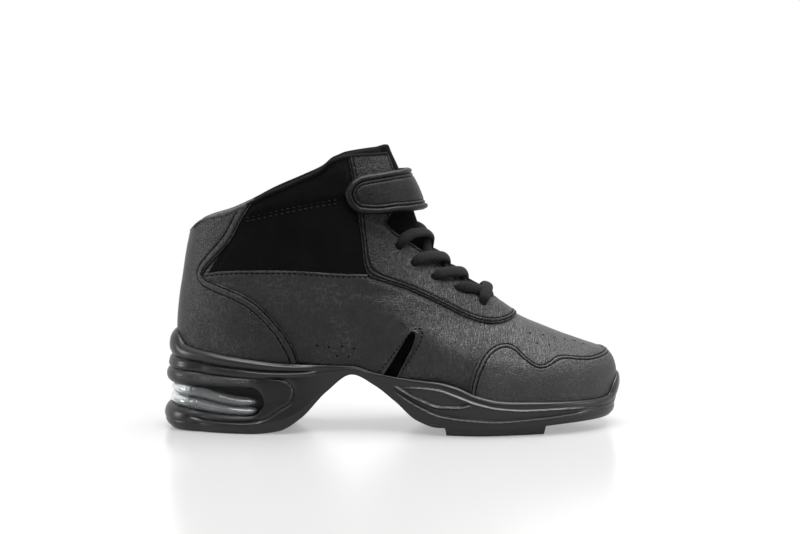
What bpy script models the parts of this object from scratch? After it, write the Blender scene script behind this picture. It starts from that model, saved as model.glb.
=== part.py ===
"""A right-foot high-top dance sneaker with a split sole, a laced throat and an ankle strap.

Sizes are in millimetres until a mesh is made. +X points to the toe, -Y is the outer (lateral)
side, +Z is up, the floor is z = 0 and the origin lies under the middle of the shoe.
"""

from collections import namedtuple

import bmesh
import bpy
import numpy as np

MM = 0.001

# Driving sizes. The side view below is drawn for a foot seat of 247 mm, a heel raised 39 mm, an
# instep of 98 mm and a collar that rises from 114 mm at the heel to 159 mm at the ankle.
HALF_BALL = 46.0      # half the upper's width over the ball of the foot
WALL = 2.0            # leather and lining of the upper
OVERLAY = 1.2         # leather laid over the upper
CUFF_THICK = 0.9      # soft ankle panels
CLEAR = 0.8           # air between pieces that follow the same curved form
LAY_GAP = 1.0         # air under the leather laid over the upper where it bends two ways
RIM_GAP = 1.0         # air between the sole's rim and the leather laid over the upper
SEAT_GAP = 0.3        # air between pieces that rest on each other
SPLIT_X = -23.0       # where the heel unit and the forefoot unit meet
UPPER_STATIONS = 25   # columns of the upper on each side
END_DENSITY = 1.0     # how much closer the columns stand round the toe and the heel
CENTRE = (-0.4, -0.35, 0.0)   # moves the whole shoe so that its box is centred on the origin

# The side view of the sole. Heights above the floor at stations along the shoe.
SoleRow = namedtuple("SoleRow", "x seat rim groove low_groove window_top window_low ledge tread")
SOLE_ROWS = [
    SoleRow(-128, 40.0, 60.0, 44.7, 37.0, 27.4, 16.6, 7.0, 2.6),
    SoleRow(-124, 39.6, 56.4, 43.6, 36.4, 27.2, 15.4, 6.4, 1.2),
    SoleRow(-118, 39.2, 49.0, 42.0, 35.6, 27.2, 13.4, 6.0, 0.0),
    SoleRow(-102, 38.6, 45.2, 39.2, 33.6, 27.2, 10.4, 5.4, 0.0),
    SoleRow(-80, 38.0, 41.7, 36.8, 32.0, 27.0, 9.6, 5.6, 0.0),
    SoleRow(-66, 37.6, 39.9, 35.8, 31.6, 25.6, 12.6, 8.0, 1.4),
    SoleRow(-52, 37.3, 38.9, 35.6, 32.2, 26.6, 19.0, 14.0, 9.0),
    SoleRow(-38, 37.0, 38.3, 36.4, 34.2, 30.0, 28.0, 26.4, 23.6),
    SoleRow(-23, 36.7, 38.1, 37.3, 36.5, 35.8, 35.2, 34.8, 34.0),
    SoleRow(-10, 31.6, 34.4, 33.2, 32.0, 30.6, 29.8, 29.0, 27.8),
    SoleRow(2, 26.0, 32.2, 28.0, 24.8, 22.6, 21.4, 20.2, 18.4),
    SoleRow(14, 20.2, 31.0, 26.9, 17.2, 13.4, 11.8, 10.2, 8.0),
    SoleRow(26, 14.9, 30.3, 26.6, 11.8, 9.2, 7.8, 6.4, 4.2),
    SoleRow(36, 11.8, 28.0, 23.6, 10.2, 7.6, 5.6, 3.4, 4.2),
    SoleRow(48, 9.6, 23.0, 18.8, 9.2, 7.0, 5.2, 3.2, 4.2),
    SoleRow(62, 8.6, 19.7, 16.0, 8.5, 6.8, 5.2, 3.2, 4.2),
    SoleRow(82, 8.2, 18.6, 14.8, 9.6, 7.8, 6.2, 4.4, 4.4),
    SoleRow(100, 9.0, 17.9, 14.6, 11.0, 9.4, 8.4, 7.2, 5.2),
    SoleRow(116, 10.8, 17.7, 14.2, 12.2, 10.8, 9.8, 8.6, 6.2),
    SoleRow(124, 12.4, 18.8, 15.0, 12.8, 11.4, 10.4, 9.2, 6.8),
    SoleRow(128, 13.6, 26.0, 18.4, 14.6, 12.2, 11.0, 9.6, 7.2),
    SoleRow(131, 14.2, 31.0, 21.0, 16.0, 12.8, 11.2, 9.8, 7.4),
]

# How far each ring of the sole's wall stands out from the last, by zone of the shoe. A ring lies at
# a height column, or part of the way from it to the next column.
RingRow = namedtuple("RingRow", "height share back heel arch ball toe")
RING_ROWS = [
    RingRow("rim", 0.0, 3.2, 3.2, 1.2, 3.0, 3.0),
    RingRow("rim", 0.5, 6.2, 4.7, 1.6, 3.6, 4.2),
    RingRow("groove", 0.0, 6.6, 3.6, 1.5, 2.6, 3.6),
    RingRow("groove", 0.5, 9.6, 5.2, 1.7, 3.8, 4.6),
    RingRow("low_groove", 0.0, 9.0, 4.2, 1.6, 3.2, 4.4),
    RingRow("low_groove", 0.35, 11.2, 6.0, 1.6, 3.4, 5.0),
]
WINDOW_TOP = RingRow("window_top", 0.0, 8.8, 4.6, 1.5, 3.2, 5.2)
WINDOW_LOW = RingRow("window_low", 0.0, 10.0, 6.4, 1.4, 3.0, 5.1)
LOWER_RING_ROWS = [
    RingRow("window_low", 0.4, 12.2, 7.2, 1.3, 2.8, 5.0),
    RingRow("ledge", 0.0, 12.0, 7.0, 1.2, 2.4, 4.7),
]
EDGE_ROW = RingRow("tread", 0.0, 9.4, 6.0, 0.8, 1.4, 4.0)
TREAD_ROW = RingRow("tread", 0.0, 7.4, 4.4, 0.4, 0.2, 2.4)
ZONE_X = {"back": (-140.0, -119.0), "heel": (-106.0, -62.0), "arch": (-36.0, -8.0), "ball": (30.0, 96.0),
          "toe": (122.0, 140.0)}
WINDOW_ROUND_X = -80.6     # the window's front ends start to round off here
WINDOW_ROUND = 7.0         # and close over this length
WINDOW_DEPTH = 11.0        # how far the window cuts into the heel
# The clear cell's section: share of the way down the window, and depth behind its face.
CELL_SECTION = [(0.08, 2.4), (0.30, 1.2), (0.66, 1.0), (0.92, 2.2), (0.92, 9.0), (0.08, 9.0)]

# The raised tread pad under the ball of the foot, and the stations where it starts and ends.
PAD_REAR_X = 30.5
PAD_FRONT_X = 87.0
TREAD_BEVEL = 1.6           # height of the bevel round the walking surface

# The side view of the last: its front line from the toe to the ankle, and its heel line.
FRONT_LINE = [
    (125.6, 12.5), (128.2, 19.0), (130.0, 26.0), (130.6, 32.5), (129.4, 38.2), (126.8, 42.4),
    (121.6, 46.0), (115.0, 48.1), (108.0, 50.5), (100.0, 53.4), (93.0, 56.4), (86.0, 59.4),
    (80.0, 61.9), (75.0, 64.3), (69.0, 68.0), (62.0, 72.8), (50.0, 80.4), (38.0, 88.2), (27.0, 97.6),
    (19.0, 108.5), (14.0, 118.5), (10.5, 129.0), (6.0, 142.5), (1.5, 153.5), (-1.5, 160.0), (-6.0, 172.0),
]
HEEL_LINE = [
    (-121.0, 39.5), (-123.6, 48.0), (-124.6, 60.0), (-123.4, 76.0), (-121.0, 92.0),
    (-118.8, 105.0), (-116.8, 114.5), (-114.5, 124.0),
]
# The collar's edge in side view, carried on over the foot to set how the rings lie there.
COLLAR_LINE = [
    (-124.0, 108.0), (-117.0, 114.3), (-110.0, 120.6), (-95.0, 125.4), (-83.5, 130.4), (-70.0, 137.4),
    (-52.0, 145.2), (-41.0, 150.4), (-34.5, 155.6), (-25.0, 158.4), (-3.0, 159.4), (20.0, 166.0),
    (60.0, 178.0), (135.0, 197.0),
]
# How far the last's middle swings towards the big toe.
SWING_FADE = 0.8            # share of the swing that is lost on the way up to the collar
SWING_LINE = [(-130, 0.0), (-60, -1.0), (0, -3.0), (40, -1.2), (80, 3.2), (110, 7.2), (132, 9.4)]

# Half widths of the last as shares of HALF_BALL. Level 0 is the sole seat and level 1 the collar;
# the columns run from the heel line to the front line. Corner is how square the ends are.
GirthRow = namedtuple("GirthRow", "level back heel waist instep ball fore front corner")
GIRTH_PLACES = [0.0, 0.12, 0.30, 0.50, 0.72, 0.88, 1.0]
GIRTH_ROWS = [
    GirthRow(0.00, 0.74, 0.76, 0.62, 0.66, 0.95, 0.97, 0.95, 2.7),
    GirthRow(0.06, 0.79, 0.80, 0.68, 0.72, 1.01, 1.03, 1.00, 2.7),
    GirthRow(0.13, 0.80, 0.80, 0.73, 0.77, 1.01, 1.03, 1.00, 2.7),
    GirthRow(0.22, 0.78, 0.79, 0.74, 0.79, 0.98, 0.97, 0.92, 2.6),
    GirthRow(0.34, 0.74, 0.76, 0.74, 0.79, 0.87, 0.87, 0.84, 2.5),
    GirthRow(0.50, 0.68, 0.71, 0.73, 0.76, 0.78, 0.76, 0.72, 2.4),
    GirthRow(0.70, 0.63, 0.67, 0.72, 0.74, 0.74, 0.70, 0.67, 2.3),
    GirthRow(1.00, 0.63, 0.68, 0.74, 0.76, 0.74, 0.68, 0.65, 2.2),
    GirthRow(1.12, 0.63, 0.68, 0.74, 0.76, 0.74, 0.68, 0.65, 2.2),
]

# The throat: half its opening by level.
THROAT_LEVEL = 0.39
UPPER_FOOT = 0.012          # the level of the upper's lower edge, just clear of the seat
COLLAR_EDGE = 0.995         # the level where the pieces sewn to the upper end below its collar
THROAT_LINE = [(0.39, 0.0), (0.396, 4.0), (0.41, 7.0), (0.45, 9.6), (0.50, 11.6), (0.58, 14.8), (0.66, 17.5),
               (0.74, 17.5), (0.82, 14.0), (0.90, 10.5), (1.0, 9.5), (1.2, 9.5)]

# Seams in side view, from the photographed outer side; the inner side repeats them.
TOE_CAP_SEAM = [
    (44.2, 26.5), (46.2, 33.0), (49.6, 40.2), (54.2, 46.7), (59.4, 50.6), (64.0, 50.0), (69.6, 46.6),
    (76.5, 41.8), (82.1, 39.8), (87.4, 41.1), (92.8, 43.2), (101.6, 43.4), (110.5, 43.2),
]
TOE_CAP_FRONT = 122.5       # where the seam crosses the middle of the toe
COUNTER_SEAM = [
    (-53.6, 40.2), (-54.8, 46.4), (-58.2, 52.7), (-63.9, 61.2), (-69.6, 67.9), (-78.2, 75.9), (-86.9, 80.8),
    (-98.7, 85.5), (-109.0, 90.0), (-103.0, 98.0), (-96.0, 105.5), (-90.9, 112.0), (-87.8, 117.9),
    (-83.7, 125.4), (-79.0, 132.0),
]
CUFF_REAR = [(-103.6, 92.8), (-100.2, 98.0), (-94.4, 105.5), (-89.4, 112.0), (-86.2, 117.9), (-81.8, 125.4),
             (-77.4, 133.0)]
CUFF_FRONT = [(-15.8, 93.4), (-19.6, 117.0), (-23.1, 138.0), (-26.6, 157.6)]
EYESTAY_SEAM = [
    (-25.7, 158.0), (-22.0, 138.0), (-18.5, 117.0), (-14.4, 92.0), (-3.0, 87.4), (8.1, 84.0), (22.6, 78.7),
    (37.2, 72.1), (46.6, 68.0), (55.3, 65.2), (62.5, 64.6), (67.2, 65.0),
]
EYESTAY_FRONT = 71.0        # where the seam crosses the middle of the vamp
EYESTAY_LEVEL = 0.378       # where the facing's inner edge crosses it
EYESTAY_BACK = 1.0          # the upper shows this much beyond the facing along the throat
GORE_SLOT = [(-6.6, 34.2), (-2.4, 42.6), (2.7, 51.8), (7.0, 57.8), (10.0, 60.2), (12.4, 58.8), (12.8, 55.0),
             (11.0, 49.0), (7.8, 41.2), (4.4, 34.2)]
GORE_FIT = 0.86             # the elastic's size as a share of its slot
GORE_DEPTH = (-1.7, -0.7)   # its inner and outer face, below the leather

# The ankle strap in side view: its lower and upper edge from the rounded end to the front.
STRAP_LOW = [(-27.0, 135.6), (-24.8, 130.4), (-19.5, 126.2), (-9.0, 125.0), (0.0, 125.6)]
STRAP_HIGH = [(-27.0, 138.8), (-24.8, 143.6), (-19.5, 147.0), (-9.0, 148.4), (-3.0, 149.0)]
STRAP_FRONT_LOW_X = 11.8
STRAP_FRONT_HIGH_X = 3.4
STRAP_BULGE = (4.0, 1.4)    # more room for the tongue under the strap's middle, at its lower and upper edge
STRAP_THICK = 3.0

TONGUE_THICK = 4.0
TONGUE_ROOT = 0.375         # levels of the tongue's root, of its top, and the top's fall to its corners
TONGUE_TOP = 1.045
TONGUE_SLOPE = 0.035
TONGUE_CROWN = 4.0          # how far its middle rises into the throat
TONGUE_REACH = [(0.37, 14.0), (0.5, 19.0), (0.7, 26.0), (0.9, 30.0), (1.1, 30.5)]   # half its width by level
INSOLE_THICK = 4.0
LACE_WIDTH = 4.2
LACE_OVER = 0.8             # how far the upper and the lower strand of a crossing lift off the facing
LACE_UNDER = 0.2
EYELETS = [(51.6, 73.6), (37.2, 82.0), (23.6, 88.8), (12.0, 97.0), (3.2, 107.0)]

LEATHER = (0.030, 0.030, 0.032, 1.0)
CLOTH = (0.008, 0.008, 0.009, 1.0)
RUBBER = (0.022, 0.022, 0.023, 1.0)
CLEAR_PLASTIC = (0.80, 0.82, 0.84, 1.0)


# Reading the tables

def read_curve(places, values, at):
    """A smooth curve through (places, values) that never overshoots, read at each item of at.

    values may hold one column per item of at.
    """
    places = np.asarray(places, float)
    at = np.atleast_1d(np.asarray(at, float))
    values = np.asarray(values, float)
    if values.ndim == 1:
        values = np.repeat(values[:, None], len(at), axis=1)
    step = np.diff(places)[:, None]
    slope = np.diff(values, axis=0) / step
    tangent = np.vstack([slope[:1], slope])
    before, after = slope[:-1], slope[1:]
    weight_a, weight_b = 2 * step[1:] + step[:-1], step[1:] + 2 * step[:-1]
    with np.errstate(divide="ignore", invalid="ignore"):
        mean = (weight_a + weight_b) / (weight_a / before + weight_b / after)
    tangent[1:-1] = np.where(before * after > 0, mean, 0.0)
    tangent[-1] = slope[-1]
    index = np.clip(np.searchsorted(places, at) - 1, 0, len(places) - 2)
    column = np.arange(len(at))
    width = step[index, 0]
    t = np.clip((at - places[index]) / width, -0.5, 1.5)
    start, end = values[index, column], values[index + 1, column]
    leave, arrive = tangent[index, column] * width, tangent[index + 1, column] * width
    return (start * (1 + 2 * t) * (1 - t) ** 2 + leave * t * (1 - t) ** 2
            + end * t * t * (3 - 2 * t) + arrive * t * t * (t - 1))


def read_pairs(pairs, at):
    """The second number of each pair as a smooth function of the first."""
    places, values = zip(*pairs)
    return read_curve(places, values, at)


def walk(points, count):
    """count points spread evenly along the smooth line through the points."""
    points = np.asarray(points, float)
    along = np.concatenate([[0.0], np.cumsum(np.linalg.norm(np.diff(points, axis=0), axis=1))])
    at = np.linspace(0.0, along[-1], count)
    return np.column_stack([read_curve(along, points[:, axis], at) for axis in range(points.shape[1])])


def sole_height(column, x):
    return read_curve([row.x for row in SOLE_ROWS], [getattr(row, column) for row in SOLE_ROWS], x)


# The last: the form that the upper is pulled over

def level_at(x, z):
    """Share of the way from the sole seat up to the collar line."""
    seat, collar = sole_height("seat", x), read_pairs(COLLAR_LINE, x)
    return (z - seat) / (collar - seat)


def line_by_level(line):
    """Levels along a side-view line, with the x where each is reached."""
    points = walk(line, 300)
    levels = np.maximum.accumulate(level_at(points[:, 0], points[:, 1]))
    return levels, points[:, 0]


FRONT_LEVELS, FRONT_X = line_by_level(FRONT_LINE)
HEEL_LEVELS, HEEL_X = line_by_level(HEEL_LINE)


def half_width(level, place):
    rows = np.array([read_curve(GIRTH_PLACES, row[1:-1], place) for row in GIRTH_ROWS])
    return HALF_BALL * read_curve([row.level for row in GIRTH_ROWS], rows, level)


def last_point(level, angle):
    """Points of the last. Angle 0 is its front line, pi its heel line, and 0 to pi the outer side."""
    level, angle = np.broadcast_arrays(np.asarray(level, float), np.asarray(angle, float))
    shape = level.shape
    level, angle = level.ravel(), angle.ravel()
    corner = read_curve([row.level for row in GIRTH_ROWS], [row.corner for row in GIRTH_ROWS], level)
    along = np.sign(np.cos(angle)) * np.abs(np.cos(angle)) ** (2 / corner)
    across = np.sign(np.sin(angle)) * np.abs(np.sin(angle)) ** (2 / corner)
    place = (1 + along) / 2
    rear = np.interp(level, HEEL_LEVELS, HEEL_X)
    front = np.interp(level, FRONT_LEVELS, FRONT_X)
    x = rear + (front - rear) * place
    seat, collar = sole_height("seat", x), read_pairs(COLLAR_LINE, x)
    z = seat + level * (collar - seat)
    swing = read_pairs(SWING_LINE, x) * (1 - SWING_FADE * np.clip(level, 0, 1))
    y = swing - half_width(level, place) * across
    return np.stack([x, y, z], axis=-1).reshape(shape + (3,))


def last_normal(level, angle):
    """Outward directions of the last's surface."""
    small = 0.004
    rise = last_point(level + small, angle) - last_point(np.maximum(level - small, 0.0), angle)
    turn = last_point(level, angle + small) - last_point(level, angle - small)
    normal = np.cross(rise, turn)
    return normal / np.linalg.norm(normal, axis=-1, keepdims=True)


def over_last(level, angle, offset):
    return last_point(level, angle) + last_normal(level, angle) * np.asarray(offset)[..., None]


def on_side(points):
    """(level, angle) of side-view points on the outer side."""
    points = np.asarray(points, float)
    level = level_at(points[:, 0], points[:, 1])
    rear = np.interp(level, HEEL_LEVELS, HEEL_X)
    front = np.interp(level, FRONT_LEVELS, FRONT_X)
    along = np.clip(2 * (points[:, 0] - rear) / (front - rear) - 1, -1, 1)
    corner = read_curve([row.level for row in GIRTH_ROWS], [row.corner for row in GIRTH_ROWS], level)
    return np.column_stack([level, np.arccos(np.sign(along) * np.abs(along) ** (corner / 2))])


def on_front(x):
    """(level, angle) of the point of the front line above x."""
    foremost = np.argmax(FRONT_X)
    return np.array([[np.interp(-x, -FRONT_X[foremost:], FRONT_LEVELS[foremost:]), 0.0]])


def inner_side(path):
    """The same path on the inner side."""
    return path * [1, -1]


def level_of_height(column, angle, lift=0.0):
    """Levels at which rings of the last reach a height of the sole, at each angle."""
    level = np.zeros_like(angle)
    for _ in range(12):
        x = last_point(level, angle)[:, 0]
        level = np.maximum(level_at(x, sole_height(column, x) + lift), 0.0)
    return level


def throat_angle(level):
    """The angle at which a ring meets the throat's edge."""
    opening = read_pairs(THROAT_LINE, np.maximum(level, THROAT_LEVEL))
    low, high = np.zeros_like(level), np.full_like(level, 1.4)
    for _ in range(40):
        middle = (low + high) / 2
        point, ridge = last_point(level, middle), last_point(level, np.zeros_like(level))
        wide = ridge[:, 1] - point[:, 1] > opening
        high, low = np.where(wide, middle, high), np.where(wide, low, middle)
    return np.where(level <= THROAT_LEVEL, 0.0, high)


def round_angles(count):
    """Angles from 0 to pi that space points along the outer side, closer at the toe and the heel."""
    angle = np.linspace(0, np.pi, 2001)
    points = last_point(np.full(2001, 0.1), angle)
    length = np.linalg.norm(np.diff(points, axis=0), axis=1)
    ends = np.abs(np.cos(angle[1:] - 0.5 * np.pi / 2000)) ** 4
    run = np.concatenate([[0.0], np.cumsum(length * (1 + END_DENSITY * ends))])
    return np.interp(np.linspace(0, run[-1], count), run, angle)


# Making objects

def material(name, colour, roughness):
    made = bpy.data.materials.get(name) or bpy.data.materials.new(name)
    made.use_nodes = True
    shader = made.node_tree.nodes["Principled BSDF"]
    shader.inputs["Base Color"].default_value = colour
    shader.inputs["Roughness"].default_value = roughness
    shader.inputs["Metallic"].default_value = 0.0
    return made


def face_outward(work):
    """Turns every face of a closed mesh outward."""
    bmesh.ops.recalc_face_normals(work, faces=work.faces)
    if work.calc_volume(signed=True) < 0:
        bmesh.ops.reverse_faces(work, faces=work.faces)


def add_object(name, points, faces, look):
    mesh = bpy.data.meshes.new(name)
    mesh.from_pydata([tuple((p + CENTRE) * MM) for p in points], [], faces)
    work = bmesh.new()
    work.from_mesh(mesh)
    bmesh.ops.remove_doubles(work, verts=work.verts, dist=0.02 * MM)
    face_outward(work)
    work.to_mesh(mesh)
    work.free()
    mesh.shade_smooth()
    mesh.set_sharp_from_angle(angle=np.radians(40))
    mesh.materials.append(look)
    made = bpy.data.objects.new(name, mesh)
    bpy.context.scene.collection.objects.link(made)
    return made


def grid_faces(rows, columns, first=0, closed=False):
    """Quads between neighbouring rows of points; closed joins each row's end to its start."""
    faces = []
    for r in range(rows - 1):
        for c in range(columns if closed else columns - 1):
            a, b = first + r * columns + c, first + r * columns + (c + 1) % columns
            faces.append((a, b, b + columns, a + columns))
    return faces


def slab(name, under, over, look, welded=0):
    """A closed solid between two grids of points of the same rows and columns.

    The first welded rows meet themselves, so they have no wall at their ends.
    """
    rows, columns = under.shape[:2]
    count = rows * columns
    points = np.concatenate([under.reshape(-1, 3), over.reshape(-1, 3)])
    faces = grid_faces(rows, columns) + grid_faces(rows, columns, count)
    edges = [(c, c + 1) for c in range(columns - 1)]
    edges += [(a + (rows - 1) * columns, b + (rows - 1) * columns) for a, b in edges]
    for r in range(max(welded - 1, 0), rows - 1):
        edges += [(r * columns, (r + 1) * columns), ((r + 1) * columns - 1, (r + 2) * columns - 1)]
    faces += [(a, b, b + count, a + count) for a, b in edges]
    return add_object(name, points, faces, look)


def ruled(lower, upper, rows):
    """A grid of (level, angle) between two paths of as many points."""
    share = np.linspace(0, 1, rows)[:, None, None]
    return lower[None] * (1 - share) + upper[None] * share


def patch(name, lower, upper, rows, low, high, look):
    """A slab that follows the last between two paths, from low to high over its surface."""
    grid = ruled(lower, upper, rows)
    level, angle = grid[..., 0], grid[..., 1]
    ones = np.ones_like(level)
    return slab(name, over_last(level, angle, low * ones), over_last(level, angle, high * ones), look)


def cut(target, cutter):
    cutter.hide_render = True
    cutter.display_type = "WIRE"
    boolean = target.modifiers.new("Slot", "BOOLEAN")
    boolean.object = cutter
    boolean.operation = "DIFFERENCE"


# The sole

def zone_value(row, x):
    places, values = [], []
    for zone, ends in ZONE_X.items():
        places += ends
        values += [getattr(row, zone)] * 2
    return read_curve(places, values, x)


def sole_angles():
    """Angles round the sole, with stations on both sides of the pad's steps."""
    even = round_angles(37)
    x = last_point(np.zeros_like(even), even)[:, 0]
    steps = [PAD_REAR_X - 0.4, PAD_REAR_X + 0.4, PAD_FRONT_X - 0.4, PAD_FRONT_X + 0.4]
    steps += [WINDOW_ROUND_X + WINDOW_ROUND * share for share in (0.0, 0.5, 0.85, 1.0)]
    extra = np.interp(steps, x[::-1], even[::-1])
    apart = np.abs(x[:, None] - np.array(steps)[None]).min(axis=1) > 2.5
    outer = np.sort(np.concatenate([even[apart], extra]))
    return np.concatenate([outer, 2 * np.pi - outer[-2:0:-1]])


def plan_normal(angle):
    """Outward directions of the sole seat's outline, seen from above."""
    small = 0.01
    zero = np.zeros_like(angle)
    turn = last_point(zero, angle + small) - last_point(zero, angle - small)
    normal = np.column_stack([-turn[:, 1], turn[:, 0], 0 * angle])
    return normal / np.linalg.norm(normal, axis=1)[:, None]


def wall_ring(angle, height_of, out_of, inset=0.0):
    """A ring of the sole's wall at a height and a distance out from the last."""
    level = np.zeros_like(angle)
    for _ in range(12):
        point = last_point(level, angle)
        level = np.clip(level_at(point[:, 0], height_of(point[:, 0])), 0.0, 0.2)
    point = last_point(level, angle)
    seat_x = last_point(np.zeros_like(angle), angle)[:, 0]
    height = height_of(point[:, 0])
    ring = point + plan_normal(angle) * (out_of(seat_x) - inset)[:, None]
    ring[:, 2] = height
    return ring


def between(row, next_column):
    """A height part of the way from one line of the sole to the next one down."""
    def height(x):
        top = sole_height(row.height, x)
        return top + (sole_height(next_column, x) - top) * row.share
    return height


def tread_height(x):
    """The walking surface: the pad under the ball steps down to the floor."""
    on_pad = (x >= PAD_REAR_X) & (x <= PAD_FRONT_X)
    return np.where(on_pad, 0.0, sole_height("tread", x))


def window_share(x):
    """1 along the window, falling to 0 over its rounded front ends."""
    t = np.clip((x - WINDOW_ROUND_X) / WINDOW_ROUND, 0, 1)
    return np.sqrt(1 - t * t)


def window_height(share):
    """A height in the window, from its top (0) to its foot (1)."""
    def height(x):
        top, foot = sole_height("window_top", x), sole_height("window_low", x)
        middle = (top + foot) / 2
        return middle + (top - middle) * (1 - 2 * share) * window_share(x)
    return height


def sole_rings(angle):
    order = ["rim", "groove", "low_groove", "window_top", "window_low", "ledge", "tread"]
    following = dict(zip(order, order[1:]))
    rings = []
    for share in (0.0, 0.35, 1.0):
        def height(x, share=share):
            seat = sole_height("seat", x) - SEAT_GAP
            return seat + (sole_height("rim", x) - seat) * share
        rings.append(wall_ring(angle, height, lambda x: CLEAR + 0 * x))

    def outer(row, height=None, inset=0.0):
        height = height or between(row, following[row.height])
        return wall_ring(angle, height, lambda x: zone_value(row, x), inset)

    rings += [outer(row) for row in RING_ROWS]
    seat_x = last_point(np.zeros_like(angle), angle)[:, 0]
    depth = WINDOW_DEPTH * (seat_x < WINDOW_ROUND_X + WINDOW_ROUND - 0.1)
    for share, row in enumerate((WINDOW_TOP, WINDOW_LOW)):
        edge, floor = outer(row, window_height(share)), outer(row, window_height(share), depth)
        rings += [edge, floor] if row is WINDOW_TOP else [floor, edge]
    rings += [outer(row) for row in LOWER_RING_ROWS]
    rings.append(outer(EDGE_ROW, lambda x: tread_height(x) + TREAD_BEVEL))
    rings.append(outer(TREAD_ROW, tread_height))
    return rings


def ladder(first, count):
    """Faces across a ring, joining each outer station to the inner one beside it."""
    half = count // 2
    faces = [(first, first + 1, first + count - 1)]
    for k in range(1, half - 1):
        faces.append((first + k, first + k + 1, first + count - k - 1, first + count - k))
    faces.append((first + half - 1, first + half, first + half + 1))
    return faces


def ring_solid(name, rings, look):
    """A closed solid lofted through rings, with a ladder of faces across the first and the last."""
    count = len(rings[0])
    faces = grid_faces(len(rings), count, closed=True)
    faces += ladder(0, count) + ladder((len(rings) - 1) * count, count)
    return add_object(name, np.concatenate(rings), faces, look)


def keep_side(target, x, keep_front):
    """Cuts a closed solid at a plane across the shoe and closes the cut."""
    work = bmesh.new()
    work.from_mesh(target.data)
    whole = work.verts[:] + work.edges[:] + work.faces[:]
    cut_line = bmesh.ops.bisect_plane(work, geom=whole, plane_co=(x * MM, 0, 0), plane_no=(1, 0, 0),
                                      clear_inner=keep_front, clear_outer=not keep_front)
    edges = [e for e in cut_line["geom_cut"] if isinstance(e, bmesh.types.BMEdge)]
    bmesh.ops.contextual_create(work, geom=edges)
    bmesh.ops.triangulate(work, faces=work.faces)
    face_outward(work)
    work.to_mesh(target.data)
    work.free()


def make_sole(rubber):
    """The heel and forefoot units: one lofted form, parted at the arch."""
    rings = sole_rings(sole_angles())
    keep_side(ring_solid("heel_sole", rings, rubber), SPLIT_X - SEAT_GAP / 2, keep_front=False)
    keep_side(ring_solid("forefoot_sole", rings, rubber), SPLIT_X + SEAT_GAP / 2, keep_front=True)


def make_heel_cell(plastic):
    """The clear cushion: a U-shaped tube that fills the outer part of the heel window."""
    front = np.interp(WINDOW_ROUND_X + 0.6 * WINDOW_ROUND, *edge_angles())
    angle = np.linspace(front, 2 * np.pi - front, 29)

    def corner(share, inset):
        def out(x):
            return zone_value(WINDOW_TOP, x) * (1 - share) + zone_value(WINDOW_LOW, x) * share
        return wall_ring(angle, window_height(share), out, inset)

    points = np.stack([corner(share, inset) for share, inset in CELL_SECTION], axis=1)
    count = len(CELL_SECTION)
    faces = grid_faces(len(angle), count, closed=True)
    faces += [tuple(range(count)), tuple(range((len(angle) - 1) * count, len(angle) * count))]
    return add_object("heel_cell", points.reshape(-1, 3), faces, plastic)


def edge_angles():
    """x along the sole seat's outer edge with the angle at each, in rising order of x."""
    angle = np.linspace(np.pi, 0, 200)
    return last_point(np.zeros_like(angle), angle)[:, 0], angle


def make_insole(cloth):
    angle = sole_angles()
    inset = WALL + CLEAR + 0.2
    rings = []
    for lift in (SEAT_GAP, SEAT_GAP + INSOLE_THICK):
        rings.append(wall_ring(angle, lambda x: sole_height("seat", x) + lift, lambda x: 0 * x - inset))
    return ring_solid("insole", rings, cloth)


# The upper and what is sewn to it

def make_upper(leather):
    levels = np.array([UPPER_FOOT, 0.03, 0.065, 0.105, 0.15, 0.185, 0.21, 0.24, 0.28, 0.335, THROAT_LEVEL, 0.396,
                       0.41, 0.45, 0.51, 0.59, 0.68, 0.79, 0.90, 1.0])
    start = throat_angle(levels)
    outer_side = round_angles(UPPER_STATIONS)
    turn = np.concatenate([outer_side, 2 * np.pi - outer_side[-2::-1]])
    angle = start[:, None] + turn * (1 - start[:, None] / np.pi)
    level = np.repeat(levels[:, None], len(turn), axis=1)
    outer = last_point(level, angle)
    inner = over_last(level, angle, -WALL * np.ones_like(level))
    inner[0, :, 2] = outer[0, :, 2]
    upper = slab("upper", inner, outer, leather, welded=int((start == 0).sum()))
    for side in (1, -1):
        cut(upper, slot_cutter(side))
    return upper


def slot_cutter(side):
    """A prism through one side of the upper, in the shape of the gore slot."""
    outline = np.array(GORE_SLOT)
    count = len(outline)
    points = []
    for depth in (15.0, 70.0):
        points += [(x, -side * depth, z) for x, z in outline]
    faces = [tuple(range(count)), tuple(range(count, 2 * count))]
    faces += [(k, (k + 1) % count, (k + 1) % count + count, k + count) for k in range(count)]
    return add_object(f"slot_cutter_{'outer' if side > 0 else 'inner'}", np.array(points), faces, None)


def make_gores(cloth):
    """Elastic set into each slot, a little below the leather."""
    outline = np.array(GORE_SLOT)
    middle = outline.mean(axis=0)
    left, right = outline[:5], outline[:4:-1]
    paths = [on_side(middle + (walk(edge, 7) - middle) * GORE_FIT) for edge in (left, right)]
    patch("gore_lateral", *paths, 3, *GORE_DEPTH, cloth)
    patch("gore_medial", *[inner_side(path) for path in paths], 3, *GORE_DEPTH, cloth)


def wrap_path(outer, middle):
    """A path along the outer side, across the middle line and back along the inner side."""
    return np.concatenate([outer, middle, inner_side(outer[::-1])])


def rim_path(x):
    """(level, angle) just above the sole's rim on the outer side."""
    return on_side(np.column_stack([x, sole_height("rim", x) + RIM_GAP]))


def round_the_front(path, middle, count):
    """Carries an outer-side path on to the middle line in count steps, then back on the inner side."""
    share = np.linspace(0, 1, count + 1)[1:-1, None]
    return wrap_path(np.concatenate([path, path[-1:] * (1 - share) + middle * share]), middle)


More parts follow.
